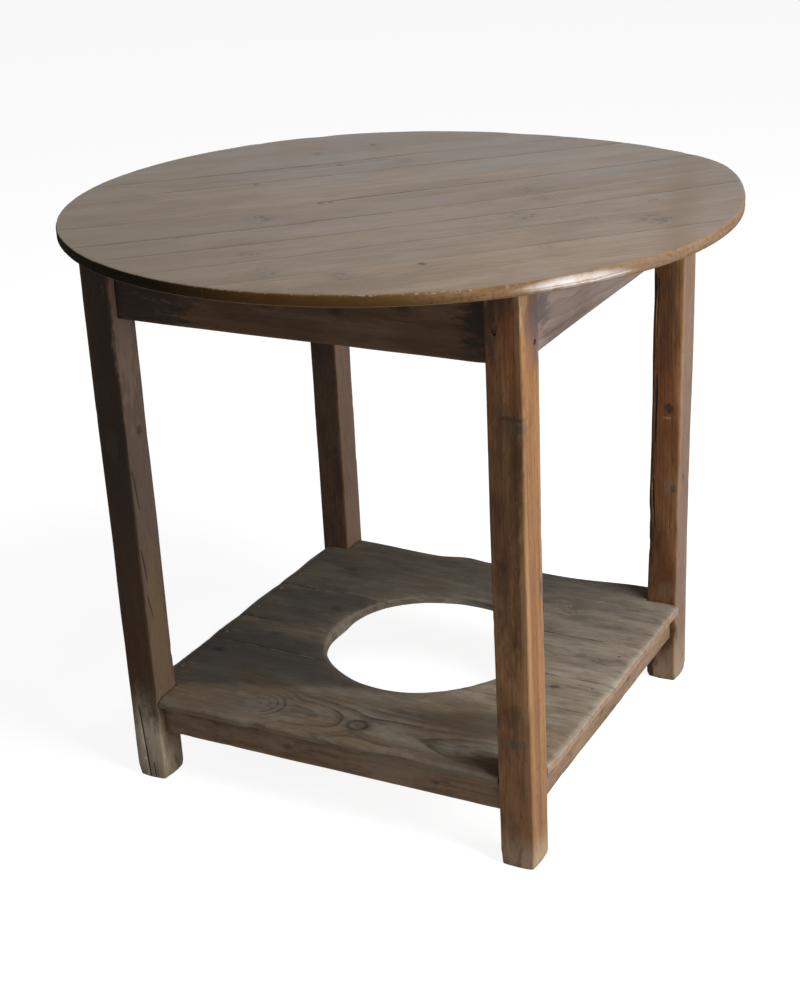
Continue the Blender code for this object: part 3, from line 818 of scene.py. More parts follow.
def apron_finish(side, low, high):
    wood = rail_wood("waxed_apron_" + side, side, 31 + SIDES.index(side), low, high)
    tone, grey, rub = APRON_LOOKS[side]
    lines, smudge = knots_in(wood, APRON_KNOTS[side])
    late = wood.late_wood(0.0046)
    streak = wood.noise(7.0, 420.0, shift=1.2, detail=3.0)
    broad = wood.noise(4.0, 55.0, shift=2.9, detail=4.0)
    cloud = wood.noise(7.0, 22.0, shift=5.5, detail=5.0, rough=0.62)
    wood.start_colour(broad.ease(0.36, 0.64), toned(APRON_LIGHT, tone), toned(APRON_MID, tone))
    # Grey over the apron: painted sheen on the right one
    wood.lay(grey, APRON_GREY)
    wood.lay(late * 0.40, APRON_DARK)
    wood.lay(streak.ease(0.52, 0.78) * 0.40, APRON_DARK)
    wood.lay(cloud.ease(0.46, 0.66) * 0.45, APRON_DARK)
    lay_stains(wood, APRON_STAINS[side])
    wood.lay(smudge * 0.6, APRON_DARK)
    wood.lay(lines * 0.8, DARK_STAIN_AND_SHADE)
    lay_rubbed_edge(wood, streak, low.z, rub)
    rough = 0.46 + streak * 0.20 + lines * 0.10
    relief = late * 0.6 + streak * 0.8 - lines * 0.5
    return wood.done(rough, relief, 0.0006, Specular_IOR_Level=0.26)


STRETCHER_LIGHT = (0.400, 0.262, 0.170)
STRETCHER_MID = (0.270, 0.165, 0.102)
STRETCHER_DARK = (0.085, 0.050, 0.032)
STRETCHER_DUST = (0.400, 0.296, 0.196)

# How dusty each stretcher is
STRETCHER_LOOKS = {"front": 0.80, "right": 0.45, "back": 0.55, "left": 0.55}
STRETCHER_FACE = 0.2865
STRETCHER_SIDE = 0.297

STRETCHER_KNOTS = {
    "front": [
        Knot((-0.060, -STRETCHER_FACE, 0.094), 0.004, 0.5),
        Knot((0.165, -STRETCHER_FACE, 0.092), 0.003, 0.5),
    ],
    "right": [
        Knot((STRETCHER_SIDE, 0.070, 0.095), 0.004, 0.5), Knot((STRETCHER_SIDE, -0.150, 0.090), 0.003, 0.4),
    ],
    "back": [Knot((0.080, STRETCHER_FACE, 0.092), 0.004, 0.6)],
    "left": [Knot((-STRETCHER_SIDE, -0.040, 0.096), 0.004, 0.6)],
}


def stretcher_finish(side, low, high):
    wood = rail_wood("worn_stretcher_" + side, side, 41 + SIDES.index(side), low, high)
    lines, smudge = knots_in(wood, STRETCHER_KNOTS[side])
    late = wood.late_wood(0.0040)
    streak = wood.noise(8.0, 400.0, shift=1.2, detail=3.0)
    broad = wood.noise(5.0, 60.0, shift=2.9, detail=4.0)
    cloud = wood.noise(12.0, 34.0, shift=5.5, detail=5.0, rough=0.65)
    mottle = wood.noise(40.0, 110.0, shift=6.1, detail=5.0, rough=0.68)
    wood.start_colour(broad.ease(0.36, 0.64), STRETCHER_LIGHT, STRETCHER_MID)
    wood.lay(late * 0.30, STRETCHER_DARK)
    wood.lay(streak.ease(0.52, 0.78) * 0.40, STRETCHER_DARK)
    wood.lay(mottle.ease(0.50, 0.66) * 0.45, STRETCHER_DARK)
    wood.lay(cloud.ease(0.44, 0.62) * STRETCHER_LOOKS[side], STRETCHER_DUST)
    wood.lay(smudge * 0.5, STRETCHER_DARK)
    wood.lay(lines * 0.7, DARK_STAIN_AND_SHADE)
    lay_rubbed_edge(wood, streak, low.z, 0.4)
    rough = 0.55 + streak * 0.22 + cloud * 0.12
    relief = late * 0.5 + streak + mottle * 0.8 - lines * 0.5
    return wood.done(rough, relief, 0.0008, Specular_IOR_Level=0.18)


# Round top

PLANK_MAP_TURN = (0.0, 0.0, -PLANK_TURN)
TOP_LIGHT = (0.296, 0.211, 0.142)
TOP_MID = (0.246, 0.170, 0.110)
TOP_BROWN = (0.146, 0.097, 0.055)
TOP_OLIVE = (0.146, 0.098, 0.046)
TOP_ASH = (0.196, 0.168, 0.140)
TOP_DARK = (0.075, 0.052, 0.039)
TOP_GREY = (0.192, 0.178, 0.170)
TOP_SMUDGE = (0.092, 0.074, 0.054)
TOP_GRIME = (0.030, 0.022, 0.017)
TOP_BARE = (0.330, 0.225, 0.130)
RIM_GOLD = (0.272, 0.160, 0.074)
RIM_BROWN = (0.142, 0.070, 0.018)
RIM_DARK = (0.120, 0.060, 0.020)
RIM_PAINTED_SHADE = (0.022, 0.016, 0.010)
RIM_PALE = (0.620, 0.500, 0.340)
RIM_PAINTED_HIGHLIGHT = (0.600, 0.560, 0.550)
TOP_AMBER_REFLECTION = (0.176, 0.108, 0.052)

# How open and dirty each seam is, from where to where along the planks, and how wide its band is
SEAM_LOOKS = (
    (0.30, -0.220, 0.100, 0.0050),
    (0.75, -0.280, 0.420, 0.0011),
    (0.80, -0.110, 0.440, 0.0012),
    (0.80, -0.420, 0.090, 0.0011),
    (0.90, -0.400, 0.440, 0.0012),
    (0.35, -0.220, 0.200, 0.0010),
    (0.75, -0.060, 0.340, 0.0012),
)

# Tone of each plank, how grey it is, and how far it cups
PLANK_LOOKS = (
    (0.95, 0.50, 0.0004),
    (0.88, 0.60, -0.0004),
    (1.02, 0.30, 0.0007),
    (0.92, 0.45, -0.0004),
    (0.98, 0.35, 0.0005),
    (1.02, 0.30, -0.0003),
    (1.06, 0.30, 0.0004),
    (1.13, 0.20, -0.0004),
)


def on_top(along, across):
    return PLANK_ALONG * along + PLANK_ACROSS * across + UP * TOP_HEIGHT


def spike(along, across, size, dark):
    """A knot of the top: the planks are cut so that most knots run across them."""
    return Knot(on_top(along, across), size, dark, 0.75)


PLANK_KNOTS = {
    1: [spike(0.073, 0.350, 0.006, 0.8), spike(-0.020, 0.330, 0.008, 0.5)],
    2: [spike(-0.011, 0.240, 0.006, 0.8), spike(0.080, 0.225, 0.012, 0.4)],
    3: [spike(-0.151, 0.178, 0.006, 0.9), spike(-0.215, 0.090, 0.010, 0.3)],
    4: [
        spike(-0.193, -0.017, 0.018, 0.65), spike(-0.100, 0.030, 0.005, 0.9),
        spike(-0.087, 0.027, 0.004, 0.8), spike(0.170, -0.040, 0.020, 0.3),
    ],
    5: [spike(0.170, -0.083, 0.014, 0.3), spike(-0.313, -0.066, 0.005, 0.8)],
    6: [
        spike(0.107, -0.168, 0.018, 0.7), spike(-0.250, -0.190, 0.014, 0.55),
        spike(0.287, -0.167, 0.010, 0.4),
    ],
    7: [
        spike(0.250, -0.257, 0.018, 0.70), spike(-0.253, -0.275, 0.014, 0.65),
        spike(0.187, -0.219, 0.003, 0.6),
    ],
    8: [
        spike(-0.177, -0.330, 0.013, 0.6), spike(-0.077, -0.320, 0.005, 0.9),
        spike(0.080, -0.315, 0.010, 0.4),
    ],
}


# A painted reflection, an amber band over the right end of the planks: the way across it, its place, width
# and strength
BAND_WAY = (0.884, -0.470)
BAND_PLACE = 0.373
BAND_WIDTH = 0.024
BAND_STRENGTH = 0.66

# Worn and darkened parts of the planks
TOP_STAINS = {
    2: [(on_top(-0.060, 0.246), (0.150, 0.012, 1.0), 0.42, TOP_SMUDGE)],
    4: [(on_top(-0.280, 0.010), (0.140, 0.030, 1.0), 0.35, TOP_OLIVE)],
    5: [(on_top(-0.300, -0.100), (0.110, 0.024, 1.0), 0.30, TOP_BROWN)],
    6: [(on_top(-0.060, -0.180), (0.100, 0.022, 1.0), 0.25, TOP_BROWN)],
    8: [(on_top(-0.120, -0.370), (0.160, 0.040, 1.0), 0.35, TOP_OLIVE)],
}


def plank_edges(number):
    back = SEAMS[number - 2] if number > 1 else RIM_RADIUS
    front = SEAMS[number - 1] if number <= len(SEAMS) else -RIM_RADIUS
    return front, back


def on_seam(point, number):
    front, back = plank_edges(number)
    across = point.dot(PLANK_ACROSS)
    return min(abs(across - front), abs(across - back)) < 0.0006


# What is nearer to a seam than this is its wall, how far the walls close where the seam is tight, and how
# far a plank falls beside it where it is open
SEAM_FACE = 0.00035
SEAM_CLOSED = 0.00016
SEAM_SAG = 0.0002


def plank_seams(number):
    """The seams of a plank: where each is, the way from it into the plank, and its look."""
    found = []
    if number <= len(SEAMS):
        found.append((SEAMS[number - 1], 1.0, SEAM_LOOKS[number - 1]))
    if number > 1:
        found.append((SEAMS[number - 2], -1.0, SEAM_LOOKS[number - 2]))
    return found


def seam_open(along, look):
    """1 where a seam has opened, 0 where it is still tight."""
    _, start, end, _ = look
    return smooth(along, start - 0.05, start + 0.03) * smooth(along, end + 0.05, end - 0.03)


def seam_sag(along, gap, look, seed):
    """How far a plank's top has rounded off next to a seam."""
    ragged = 0.6 + 0.5 * noise.noise(Vector((along * 26.0, seed * 3.3, 0.4)))
    return look[0] * seam_open(along, look) * max(0.0, ragged) * smooth(gap, 0.0022, 0.0) * SEAM_SAG


# Rounding of the rim's upper edge as it was made, and how far out its worn curve starts
ARRIS_ROUND = 0.003
ROLL_START = 0.432

# How deep the rim is dented and chipped, and how much the planks stand off each other and wave
RIM_DENT = 0.0004
RIM_CHIP = 0.0007
RIM_CHIP_FALL = 0.0005
PLANK_LIFT = 0.00005
PLANK_WAVE = 0.00025

# Where hands have rounded and polished the rim
POLISHED_TURN = math.radians(-36)
POLISHED_REACH = 0.42


def roll_rim(radius, point):
    """Where a point goes when the rim's upper edge is worn to a wider curve than it was made with."""
    turn = math.atan2(point.y, point.x)
    hands = math.exp(-((turn - POLISHED_TURN) / POLISHED_REACH) ** 2)
    curve = 0.0024 + 0.0008 * ripple(point, (9.0, 9.0, 0.0), 4.0) + 0.0048 * hands
    fall = curve + 0.0024 * hands
    flat = 1.0 + 0.8 * hands
    bend = RIM_RADIUS - ARRIS_ROUND
    if point.z < TOP_HEIGHT - ARRIS_ROUND - 0.0002 or radius < ROLL_START:
        return radius, point.z
    if radius < bend:
        squeeze = (RIM_RADIUS - curve - ROLL_START) / (bend - ROLL_START)
        return ROLL_START + (radius - ROLL_START) * squeeze, point.z
    slope = math.atan2(point.z - TOP_HEIGHT + ARRIS_ROUND, radius - bend)
    slope = min(math.pi / 2, max(0.0, slope))
    rolled_radius = RIM_RADIUS - curve * (1.0 - math.cos(slope) ** flat)
    return rolled_radius, TOP_HEIGHT - fall * (1.0 - math.sin(slope) ** flat)


def rim_wear(point, upper):
    """How far a point of the top moves out and up where the rim is rolled, chipped and dented or bulges."""
    radius = math.hypot(point.x, point.y)
    outward_way = Vector((point.x, point.y, 0.0)) / max(radius, 0.001)
    rolled_radius, rolled_height = roll_rim(radius, point)
    rim = smooth(radius, RIM_RADIUS - 0.008, RIM_RADIUS - 0.001)
    chip = smooth(ripple(point, (33.0, 33.0, 25.0), 8.0), 0.12, 0.60)
    dent = RIM_DENT * ripple(point, (14.0, 14.0, 14.0), 5.0)
    worn = dent - RIM_CHIP * chip * (0.2 + 0.8 * upper)
    bulge = round_top(point, RIM_BULGES) * smooth(radius, RIM_RADIUS - 0.080, RIM_RADIUS)
    outward = outward_way * (rolled_radius - radius + rim * worn + bulge)
    return outward, rolled_height - point.z - rim * upper * chip * RIM_CHIP_FALL


def plank_shift(number):
    front, back = plank_edges(number)
    _, _, cup = PLANK_LOOKS[number - 1]
    lift = PLANK_LIFT * math.sin(number * 2.4)
    seams = plank_seams(number)

    def shift(point, normal):
        along = point.dot(PLANK_ALONG)
        across = point.dot(PLANK_ACROSS)
        share = 2.0 * (across - front) / (back - front) - 1.0
        rise = 0.15 * cup * (share * share - 1.0) + lift
        upper = smooth(point.z, TOP_UNDERSIDE + 0.002, TOP_HEIGHT - 0.004)
        slide = 0.0
        for seam, inwards, look in seams:
            gap = (across - seam) * inwards
            rise -= upper * seam_sag(along, gap, look, number + 0.25 * inwards)
            if gap < SEAM_FACE:
                slide -= inwards * SEAM_CLOSED * (1.0 - seam_open(along, look))
        rise += upper * PLANK_WAVE * ripple(point, (22.0, 22.0, 0.0), 1.0)
        outward, fall = rim_wear(point, upper)
        return sway(point) + outward + PLANK_ACROSS * slide + UP * (rise + fall)

    return shift


# How far the edges of the rim and of the seams are bevelled, and how far out the planks are cut
RIM_EASE = 0.0010
SEAM_EASE = 0.0002
PLANK_REACH = 0.449


def make_plank(number):
    node = f"top_plank_{number}"
    front, back = plank_edges(number)
    bm = merged_copy(node)

    def along_seam(edge):
        ends = [vert.co for vert in edge.verts]
        high_up = all(end.z > TOP_HEIGHT - 0.0005 for end in ends)
        return high_up and all(on_seam(end, number) for end in ends) and edge.calc_length() > 0.02

    def on_rim_curve(edge):
        level = abs(edge.verts[0].co.z - edge.verts[1].co.z) < 0.0001
        outside = all(math.hypot(*vert.co.xy) > RIM_RADIUS - 0.0015 for vert in edge.verts)
        return level and outside and edge.calc_face_angle(0.0) > math.radians(40)

    ease_edges(bm, on_rim_curve, RIM_EASE, 2)
    ease_edges(bm, along_seam, SEAM_EASE, 2)
    inner = steps(max(front, -PLANK_REACH) + 0.004, min(back, PLANK_REACH) - 0.004, 0.010)
    slice_across(bm, PLANK_ACROSS, inner)
    reach = max(abs(vert.co.dot(PLANK_ALONG)) for vert in bm.verts)
    slice_across(bm, PLANK_ALONG, steps(-reach, reach, 0.009))
    shift_vertices(bm, plank_shift(number))
    dress(bm, f"varnished_plank_{number}", node, "varnished_top", plank_finish(number))


def seam_dirt(wood, seam, look, ragged):
    strength, start, end, width = look
    off = abs(wood.across - seam + (ragged - 0.5) * 0.0010)
    reach = wood.along.ease(start - 0.03, start + 0.03) * wood.along.ease(end + 0.03, end - 0.03)
    line = off.ease(width, width * 0.3)
    return line * (reach * 0.90 + 0.10) * ragged.ease(0.32, 0.60) * strength


def lay_top_reflections_and_stains(wood, cloud, patch):
    """Painted sheen: a greyer far side, an olive near side and left end where the sheen is less, and the
    amber band, a painted reflection. Then broad soft stains.
    """
    far = (wood.north * 0.9 + wood.east * 0.15).ease(-0.12, 0.42)
    wood.lay(far * (0.40 + (cloud - 0.5) * 1.6), TOP_GREY)
    near = (wood.north * -0.75 - wood.east * 0.65).ease(0.06, 0.42) * (0.66 + (patch - 0.5) * 1.2)
    wood.lay(near * 0.95, TOP_OLIVE)
    left_end = (wood.along + (cloud - 0.5) * 0.20).ease(-0.22, -0.42)
    wood.lay(left_end * 0.40, TOP_OLIVE)
    # The amber band: painted reflection
    band = (wood.along * BAND_WAY[0] + wood.across * BAND_WAY[1] - BAND_PLACE) / BAND_WIDTH
    wood.lay(band.fade() * BAND_STRENGTH, TOP_AMBER_REFLECTION)
    tide = wood.noise(4.5, 9.0, shift=14.8, detail=3.0)
    wood.lay(tide.ease(0.46, 0.64) * 0.38, TOP_BROWN)


def lay_rim(wood, up):
    """Golden, rubbed edge with pale nicks along its upper arris. Painted shade darkens it at the front and
    blackens it at the left, and a painted highlight makes it paler where it is polished.
    """
    radius = (wood.east * wood.east + wood.north * wood.north).root()
    layer = wood.noise(9.0, 9.0, 210.0, shift=11.3, detail=3.0)
    ragged = wood.noise(45.0, 45.0, 70.0, shift=13.1, detail=4.0)
    fine = wood.noise(190.0, 190.0, 260.0, shift=12.7, detail=3.0)
    outer = radius.ease(RIM_RADIUS - 0.0150, RIM_RADIUS - 0.0110)
    rim = (up + (ragged - 0.5) * 0.30).ease(0.94, 0.74) * outer
    # A paler rubbed patch at the front right: rubbed wood with painted sheen
    rubbed = wood.north.ease(-0.27, -0.15) * wood.east.ease(0.20, 0.30) * ragged.ease(0.34, 0.56)
    # The left of the rim goes black: painted shade
    left = wood.east.ease(0.06, -0.14)
    arris = (up + (fine - 0.5) * 0.3).ease(0.985, 0.93) * up.ease(0.40, 0.75) * outer
    front = (wood.north * -1.0).ease(0.28, 0.40)
    nick = arris * fine.ease(0.50, 0.60) * ragged.ease(0.40, 0.54) * (1 - left) * (0.20 + front * 0.50)
    # Polished zone: a glossier coat, and a paler base colour as painted highlight
    polished_way = wood.east * math.cos(POLISHED_TURN) + wood.north * math.sin(POLISHED_TURN)
    polish_and_highlight = polished_way.ease(0.440, 0.4490) * rim
    # Brown at the front, gold to the right: painted shade over the rim's gold
    gold = wood.blend((wood.east + (ragged - 0.5) * 0.08).ease(0.17, 0.29), RIM_BROWN, RIM_GOLD)
    coats = (
        (layer.ease(0.42, 0.64) * 0.40, RIM_DARK),
        (ragged.ease(0.50, 0.66) * 0.45, RIM_DARK),
        (fine.ease(0.48, 0.64) * 0.55, RIM_DARK),
        (rubbed * 0.09, RIM_PAINTED_HIGHLIGHT),
        (left * 0.94, RIM_PAINTED_SHADE),
        (nick, RIM_PALE),
        (polish_and_highlight * ragged.ease(0.34, 0.56) * 0.38, RIM_PAINTED_HIGHLIGHT),
    )
    for mask, tint in coats:
        gold = wood.blend(mask, gold, tint)
    wood.lay(rim.most(nick), gold)
    return rim, polish_and_highlight, left


def plank_finish(number):
    wood = Timber(f"varnished_top_{number}", PLANK_MAP_TURN, 51 + number)
    front, back = plank_edges(number)
    tone, grey, _ = PLANK_LOOKS[number - 1]
    middle = (max(front, -0.43) + min(back, 0.43)) / 2
    lean = 0.030 if number % 2 else -0.026
    wood.start_rings((middle + 0.010 * math.sin(5.0 * number), TOP_HEIGHT - 0.050), (0.020, lean), 0.016)
    lines, smudge = knots_in(wood, PLANK_KNOTS[number])
    late = wood.late_wood(0.0052)
    streak = wood.noise(6.0, 330.0, shift=1.2, detail=3.0)
    broad = wood.noise(3.0, 45.0, shift=2.9, detail=4.0)
    cloud = wood.noise(6.0, 17.0, shift=5.5, detail=4.0)
    patch = wood.noise(13.0, 34.0, shift=7.4, detail=5.0, rough=0.62)
    ragged = wood.noise(30.0, 120.0, shift=9.1, detail=3.0)
    scratch = wood.noise(180.0, 14.0, 60.0, shift=4.6, detail=2.0)
    wood.start_colour(broad.ease(0.35, 0.65), toned(TOP_LIGHT, tone), toned(TOP_MID, tone))
    wood.lay(cloud.ease(0.42, 0.64) * grey, TOP_ASH)
    wood.lay(patch.ease(0.46, 0.70) * 0.42, TOP_BROWN)
    wood.lay(late * 0.26, TOP_DARK)
    wood.lay(streak.ease(0.48, 0.74) * 0.24, TOP_DARK)
    lay_top_reflections_and_stains(wood, cloud, patch)
    lay_stains(wood, TOP_STAINS.get(number, ()))
    wood.lay(smudge * 0.46, TOP_SMUDGE)
    wood.lay(lines * 0.95, TOP_GRIME)
    dirt = most_of([seam_dirt(wood, seam, look, ragged) for seam, _, look in plank_seams(number)])
    wood.lay(dirt, TOP_GRIME)
    _, _, up = wood.facing()
    rim, polish_and_highlight, left = lay_rim(wood, up)
    under = up.ease(-0.4, -0.8)
    wood.lay(under, wood.blend(late * 0.6, TOP_BARE, TOP_DARK))
    rough = 0.38 + cloud * 0.18 + streak * 0.10 + dirt * 0.25 + rim * (0.15 + left * 0.40) + under * 0.35
    coat = (0.14 + cloud.ease(0.40, 0.62) * 0.10 - rim * 0.24 + polish_and_highlight - dirt * 0.1) * (1 - under)
    relief = late * 0.30 + streak * 0.40 + scratch * 0.10 - dirt * 1.0 - lines * 0.4
    return wood.done(
        rough, relief, 0.0005,
        Specular_IOR_Level=0.11, Coat_Weight=coat, Coat_Roughness=0.24, Coat_IOR=1.8,
    )


# Shelf

# Waves of the back edge and of the worn front edge: place along the shelf, how far it moves back
BACK_WAVES = ((-0.30, 0.003), (-0.26, 0.005), (-0.11, -0.003), (-0.06, 0.007), (-0.02, 0.002),
              (0.11, -0.002), (0.24, 0.012), (0.32, 0.010))
FRONT_WAVES = ((-0.30, 0.0), (-0.17, 0.0015), (-0.13, 0.001), (-0.105, 0.0055), (-0.085, 0.001),
               (-0.02, 0.002), (0.05, 0.0005), (0.12, 0.003), (0.20, 0.001), (0.32, 0.002))
BOARDS = {
    "1": (SHELF_FRONT, SHELF_SEAMS[0]),
    "2_left": (SHELF_SEAMS[0], SHELF_SEAMS[1]),
    "2_right": (SHELF_SEAMS[0], SHELF_SEAMS[1]),
    "3_left": (SHELF_SEAMS[1], SHELF_SEAMS[2]),
    "3_right": (SHELF_SEAMS[1], SHELF_SEAMS[2]),
    "4": (SHELF_SEAMS[2], SHELF_BACK),
}
FRONT_BOARD = "1"
BACK_BOARD = "4"


def board_seams(key):
    return [seam for seam in BOARDS[key] if seam in SHELF_SEAMS]


def along_waves(waves, place):
    for (start, before), (end, after) in zip(waves, waves[1:]):
        if start <= place <= end:
            return before + (after - before) * smooth(place, start, end)
    return 0.0


def hole_shift(point):
    """The sawn hole is not quite round, and its wall leans in at the left."""
    from_centre = Vector((point.x, point.y, 0.0)) - HOLE_CENTRE
    radius = from_centre.length
    near = smooth(radius, HOLE_RADIUS + 0.016, HOLE_RADIUS + 0.001)
    if near == 0.0:
        return Vector()
    way = from_centre / radius
    turn = math.atan2(way.y, way.x)
    wobble = 0.0016 * math.sin(3.0 * turn + 0.7) + 0.0013 * math.sin(5.0 * turn + 2.0)
    low = smooth(point.z, SHELF_HEIGHT - 0.002, SHELF_UNDERSIDE)
    leaning = 0.0060 * math.exp(-((abs(turn) - math.pi) / 0.26) ** 2) * low
    worn = 0.0012 * max(0.0, ripple(point, (40.0, 40.0, 30.0), 6.0))
    return way * near * (wobble + worn - leaning)


def front_wear(point):
    """How a point moves at the worn front edge and its right corner, and how far it falls."""
    corner = smooth(point.y, -0.215, -0.250) * smooth(point.x, 0.294, SHELF_RIGHT)
    edge = point.y - SHELF_FRONT
    move = NORTH * along_waves(FRONT_WAVES, point.x) * smooth(edge, 0.022, 0.0) - EAST * 0.0050 * corner
    roll = 0.0030 + 0.0020 * ripple(point, (17.0, 0.0, 0.0), 2.0)
    return move, max(0.0, roll) * smooth(edge, 0.015, 0.0)


def back_wear(point):
    """How a point moves at the wavy back edge, and how far it falls."""
    edge = SHELF_BACK - point.y
    move = NORTH * along_waves(BACK_WAVES, point.x) * smooth(edge, 0.030, 0.0)
    return move, 0.0004 * smooth(edge, 0.012, 0.0)


EDGE_WEAR = {FRONT_BOARD: front_wear, BACK_BOARD: back_wear}


def board_shift(key):
    seams = board_seams(key)
    seed = 60 + list(BOARDS).index(key)

    def shift(point, normal):
        upper = smooth(point.z, SHELF_UNDERSIDE + 0.002, SHELF_HEIGHT - 0.003)
        from_hole = (Vector((point.x, point.y, 0.0)) - HOLE_CENTRE).length - HOLE_RADIUS
        fall = 0.0024 * smooth(from_hole, 0.009, 0.0)
        fall -= 0.0005 * ripple(point, (4.0, 70.0, 0.0), seed)
        fall -= 0.0004 * ripple(point, (12.0, 22.0, 0.0), seed + 3.0)
        ends = min(point.x - SHELF_LEFT, SHELF_RIGHT - point.x)
        end_wear = 0.0022 + 0.0022 * ripple(point, (0.0, 21.0, 0.0), 3.0)
        fall += max(0.0, end_wear) * smooth(ends, 0.012, 0.0)
        move = sway(point) + hole_shift(point)
        move += EAST * 0.0013 * ripple(point, (0.0, 16.0, 0.0), 9.0) * smooth(ends, 0.02, 0.0)
        if key in EDGE_WEAR:
            edge_move, edge_fall = EDGE_WEAR[key](point)
            move += edge_move
            fall += edge_fall
        seam_gap = min(abs(point.y - seam) for seam in seams)
        ragged = 0.0004 + 0.0006 * max(0.0, ripple(point, (30.0, 0.0, 0.0), seed + 1.0))
        fall += ragged * smooth(seam_gap, 0.005, 0.0)
        return move - UP * upper * fall

    return shift


def make_board(key):
    node = "shelf_board_" + key
    low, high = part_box(node)
    bm = merged_copy(node)

    def on_top_edge(edge):
        ends = [vert.co for vert in edge.verts]
        if any(end.z < SHELF_HEIGHT - 0.0002 for end in ends):
            return False
        return len(edge.link_faces) == 2 and edge.calc_face_angle(0.0) > math.radians(60)

    ease_edges(bm, on_top_edge, 0.0014, 2)
    slice_across(bm, NORTH, steps(low.y + 0.003, high.y - 0.003, 0.009))
    slice_across(bm, EAST, steps(low.x + 0.003, high.x - 0.003, 0.009))
    shift_vertices(bm, board_shift(key))
    dress(bm, "scrubbed_board_" + key, node, "scrubbed_shelf", board_finish(key))


SHELF_LIGHT = (0.360, 0.305, 0.232)
SHELF_MID = (0.250, 0.208, 0.158)
SHELF_DARK = (0.080, 0.067, 0.054)
SHELF_PAINTED_SHADE = (0.070, 0.065, 0.060)
SHELF_UMBER = (0.078, 0.056, 0.036)
SHELF_WARM = (0.300, 0.218, 0.140)
SHELF_WORN = (0.500, 0.440, 0.350)
SHELF_END = (0.450, 0.290, 0.205)
SHELF_WALL = (0.235, 0.182, 0.130)
SHELF_WALL_PAINTED_LIGHT = (0.400, 0.350, 0.285)
SHELF_GRIME = (0.024, 0.019, 0.015)

# Tone of each board and how warm it is; the middle boards' left halves are darker and right halves lighter
# as painted shade and light
BOARD_LOOKS = {
    "1": (1.02, 0.95), "2_left": (0.83, 0.45), "2_right": (1.12, 0.50),
    "3_left": (0.80, 0.10), "3_right": (1.12, 0.00), "4": (0.95, 0.00),
}

# Rings of the front board, and the line that their nested arches lie on
FRONT_RING = 0.0088
ARCH_LINE = -0.254

# Painted shade on the shelf, under the top and beside the nearest leg: middle, sizes along and across,
# strength, colour
PAINTED_SHADE_PATCHES = (
    ((-0.215, -0.110), (0.150, 0.070), 0.45, SHELF_PAINTED_SHADE),
    ((-0.200, 0.040), (0.120, 0.070), 0.58, SHELF_PAINTED_SHADE),
    ((-0.150, 0.200), (0.260, 0.120), 0.40, SHELF_PAINTED_SHADE),
    ((0.120, 0.250), (0.220, 0.090), 0.40, SHELF_PAINTED_SHADE),
    ((0.210, 0.110), (0.110, 0.110), 0.18, SHELF_PAINTED_SHADE),
    ((0.165, -0.190), (0.110, 0.060), 0.80, SHELF_UMBER),
)

# Boards with a painted slanting shadow, how far its edge slants, and where it lies
SHADOWED_BOARDS = ("1", "2_left")
SHADOW_SLOPE = 0.346
SHADOW_PLACE = 0.161


def on_shelf(east, north):
    return (east, north, SHELF_HEIGHT)


BACK_KNOT = on_shelf(0.165, 0.174)

BOARD_KNOTS = {
    "1": [
        Knot(on_shelf(0.033, ARCH_LINE), 0.0110, 0.75, 1.2, True),
        Knot(on_shelf(-0.262, -0.136), 0.006, 0.9),
    ],
    "2_left": [Knot(on_shelf(-0.210, -0.060), 0.007, 0.4)],
    "2_right": [Knot(on_shelf(0.234, -0.054), 0.005, 0.7)],
    "3_left": [Knot(on_shelf(-0.098, 0.090), 0.006, 0.9), Knot(on_shelf(-0.168, 0.048), 0.008, 0.5)],
    "3_right": [Knot(on_shelf(0.267, 0.039), 0.009, 0.3), Knot(on_shelf(0.235, 0.046), 0.006, 0.3)],
    "4": [Knot(BACK_KNOT, 0.010, 0.35), Knot(on_shelf(-0.215, 0.180), 0.007, 0.4)],
}


def arch_dip(wood):
    """How the pith sinks under the front board: fast where the rings end in arches, then slowly."""
    sunk = wood.along.ease(-0.128, -0.066) * 4.0 + wood.along.ease(-0.066, 0.060) * 1.4
    return (sunk - wood.along.ease(0.120, 0.220)) * FRONT_RING


def start_board_rings(wood, key):
    """The front board is sawn so that its rings show as nested arches."""
    if key == FRONT_BOARD:
        pith = (ARCH_LINE, SHELF_HEIGHT - 0.5 * FRONT_RING)
        wood.start_rings(pith, (0.010, 0.0), 0.006, arch_dip(wood))
    else:
        middle = sum(BOARDS[key]) / 2
        wood.start_rings((middle - 0.020, SHELF_HEIGHT - 0.040), (0.012, 0.022), 0.020)


def lay_figure(wood, key, ragged):
    """Dark lines at the end of the rings, and finer ones between them. Gives the mask of the first."""
    if key == FRONT_BOARD:
        late = wood.late_wood(FRONT_RING, 3.0, 0.50)
        figured = wood.away(on_shelf(0.040, ARCH_LINE), (0.200, 0.055, 1.0)).ease(1.30, 0.70)
        grainy = 0.15 + figured * wood.along.ease(-0.140, -0.095) * 1.25
        fine = wood.late_wood(FRONT_RING / 3.0, 2.0, 0.30) * (0.20 + wood.along.ease(-0.080, 0.0) * 0.45)
    else:
        late = wood.late_wood(0.0066, 3.0)
        grainy = 0.32
        fine = wood.late_wood(0.0024, 2.0, 0.30) * 0.22
    wood.lay(late * ragged.ease(0.26, 0.50) * grainy, SHELF_DARK)
    wood.lay(fine * ragged.ease(0.34, 0.58), SHELF_DARK)
    return late


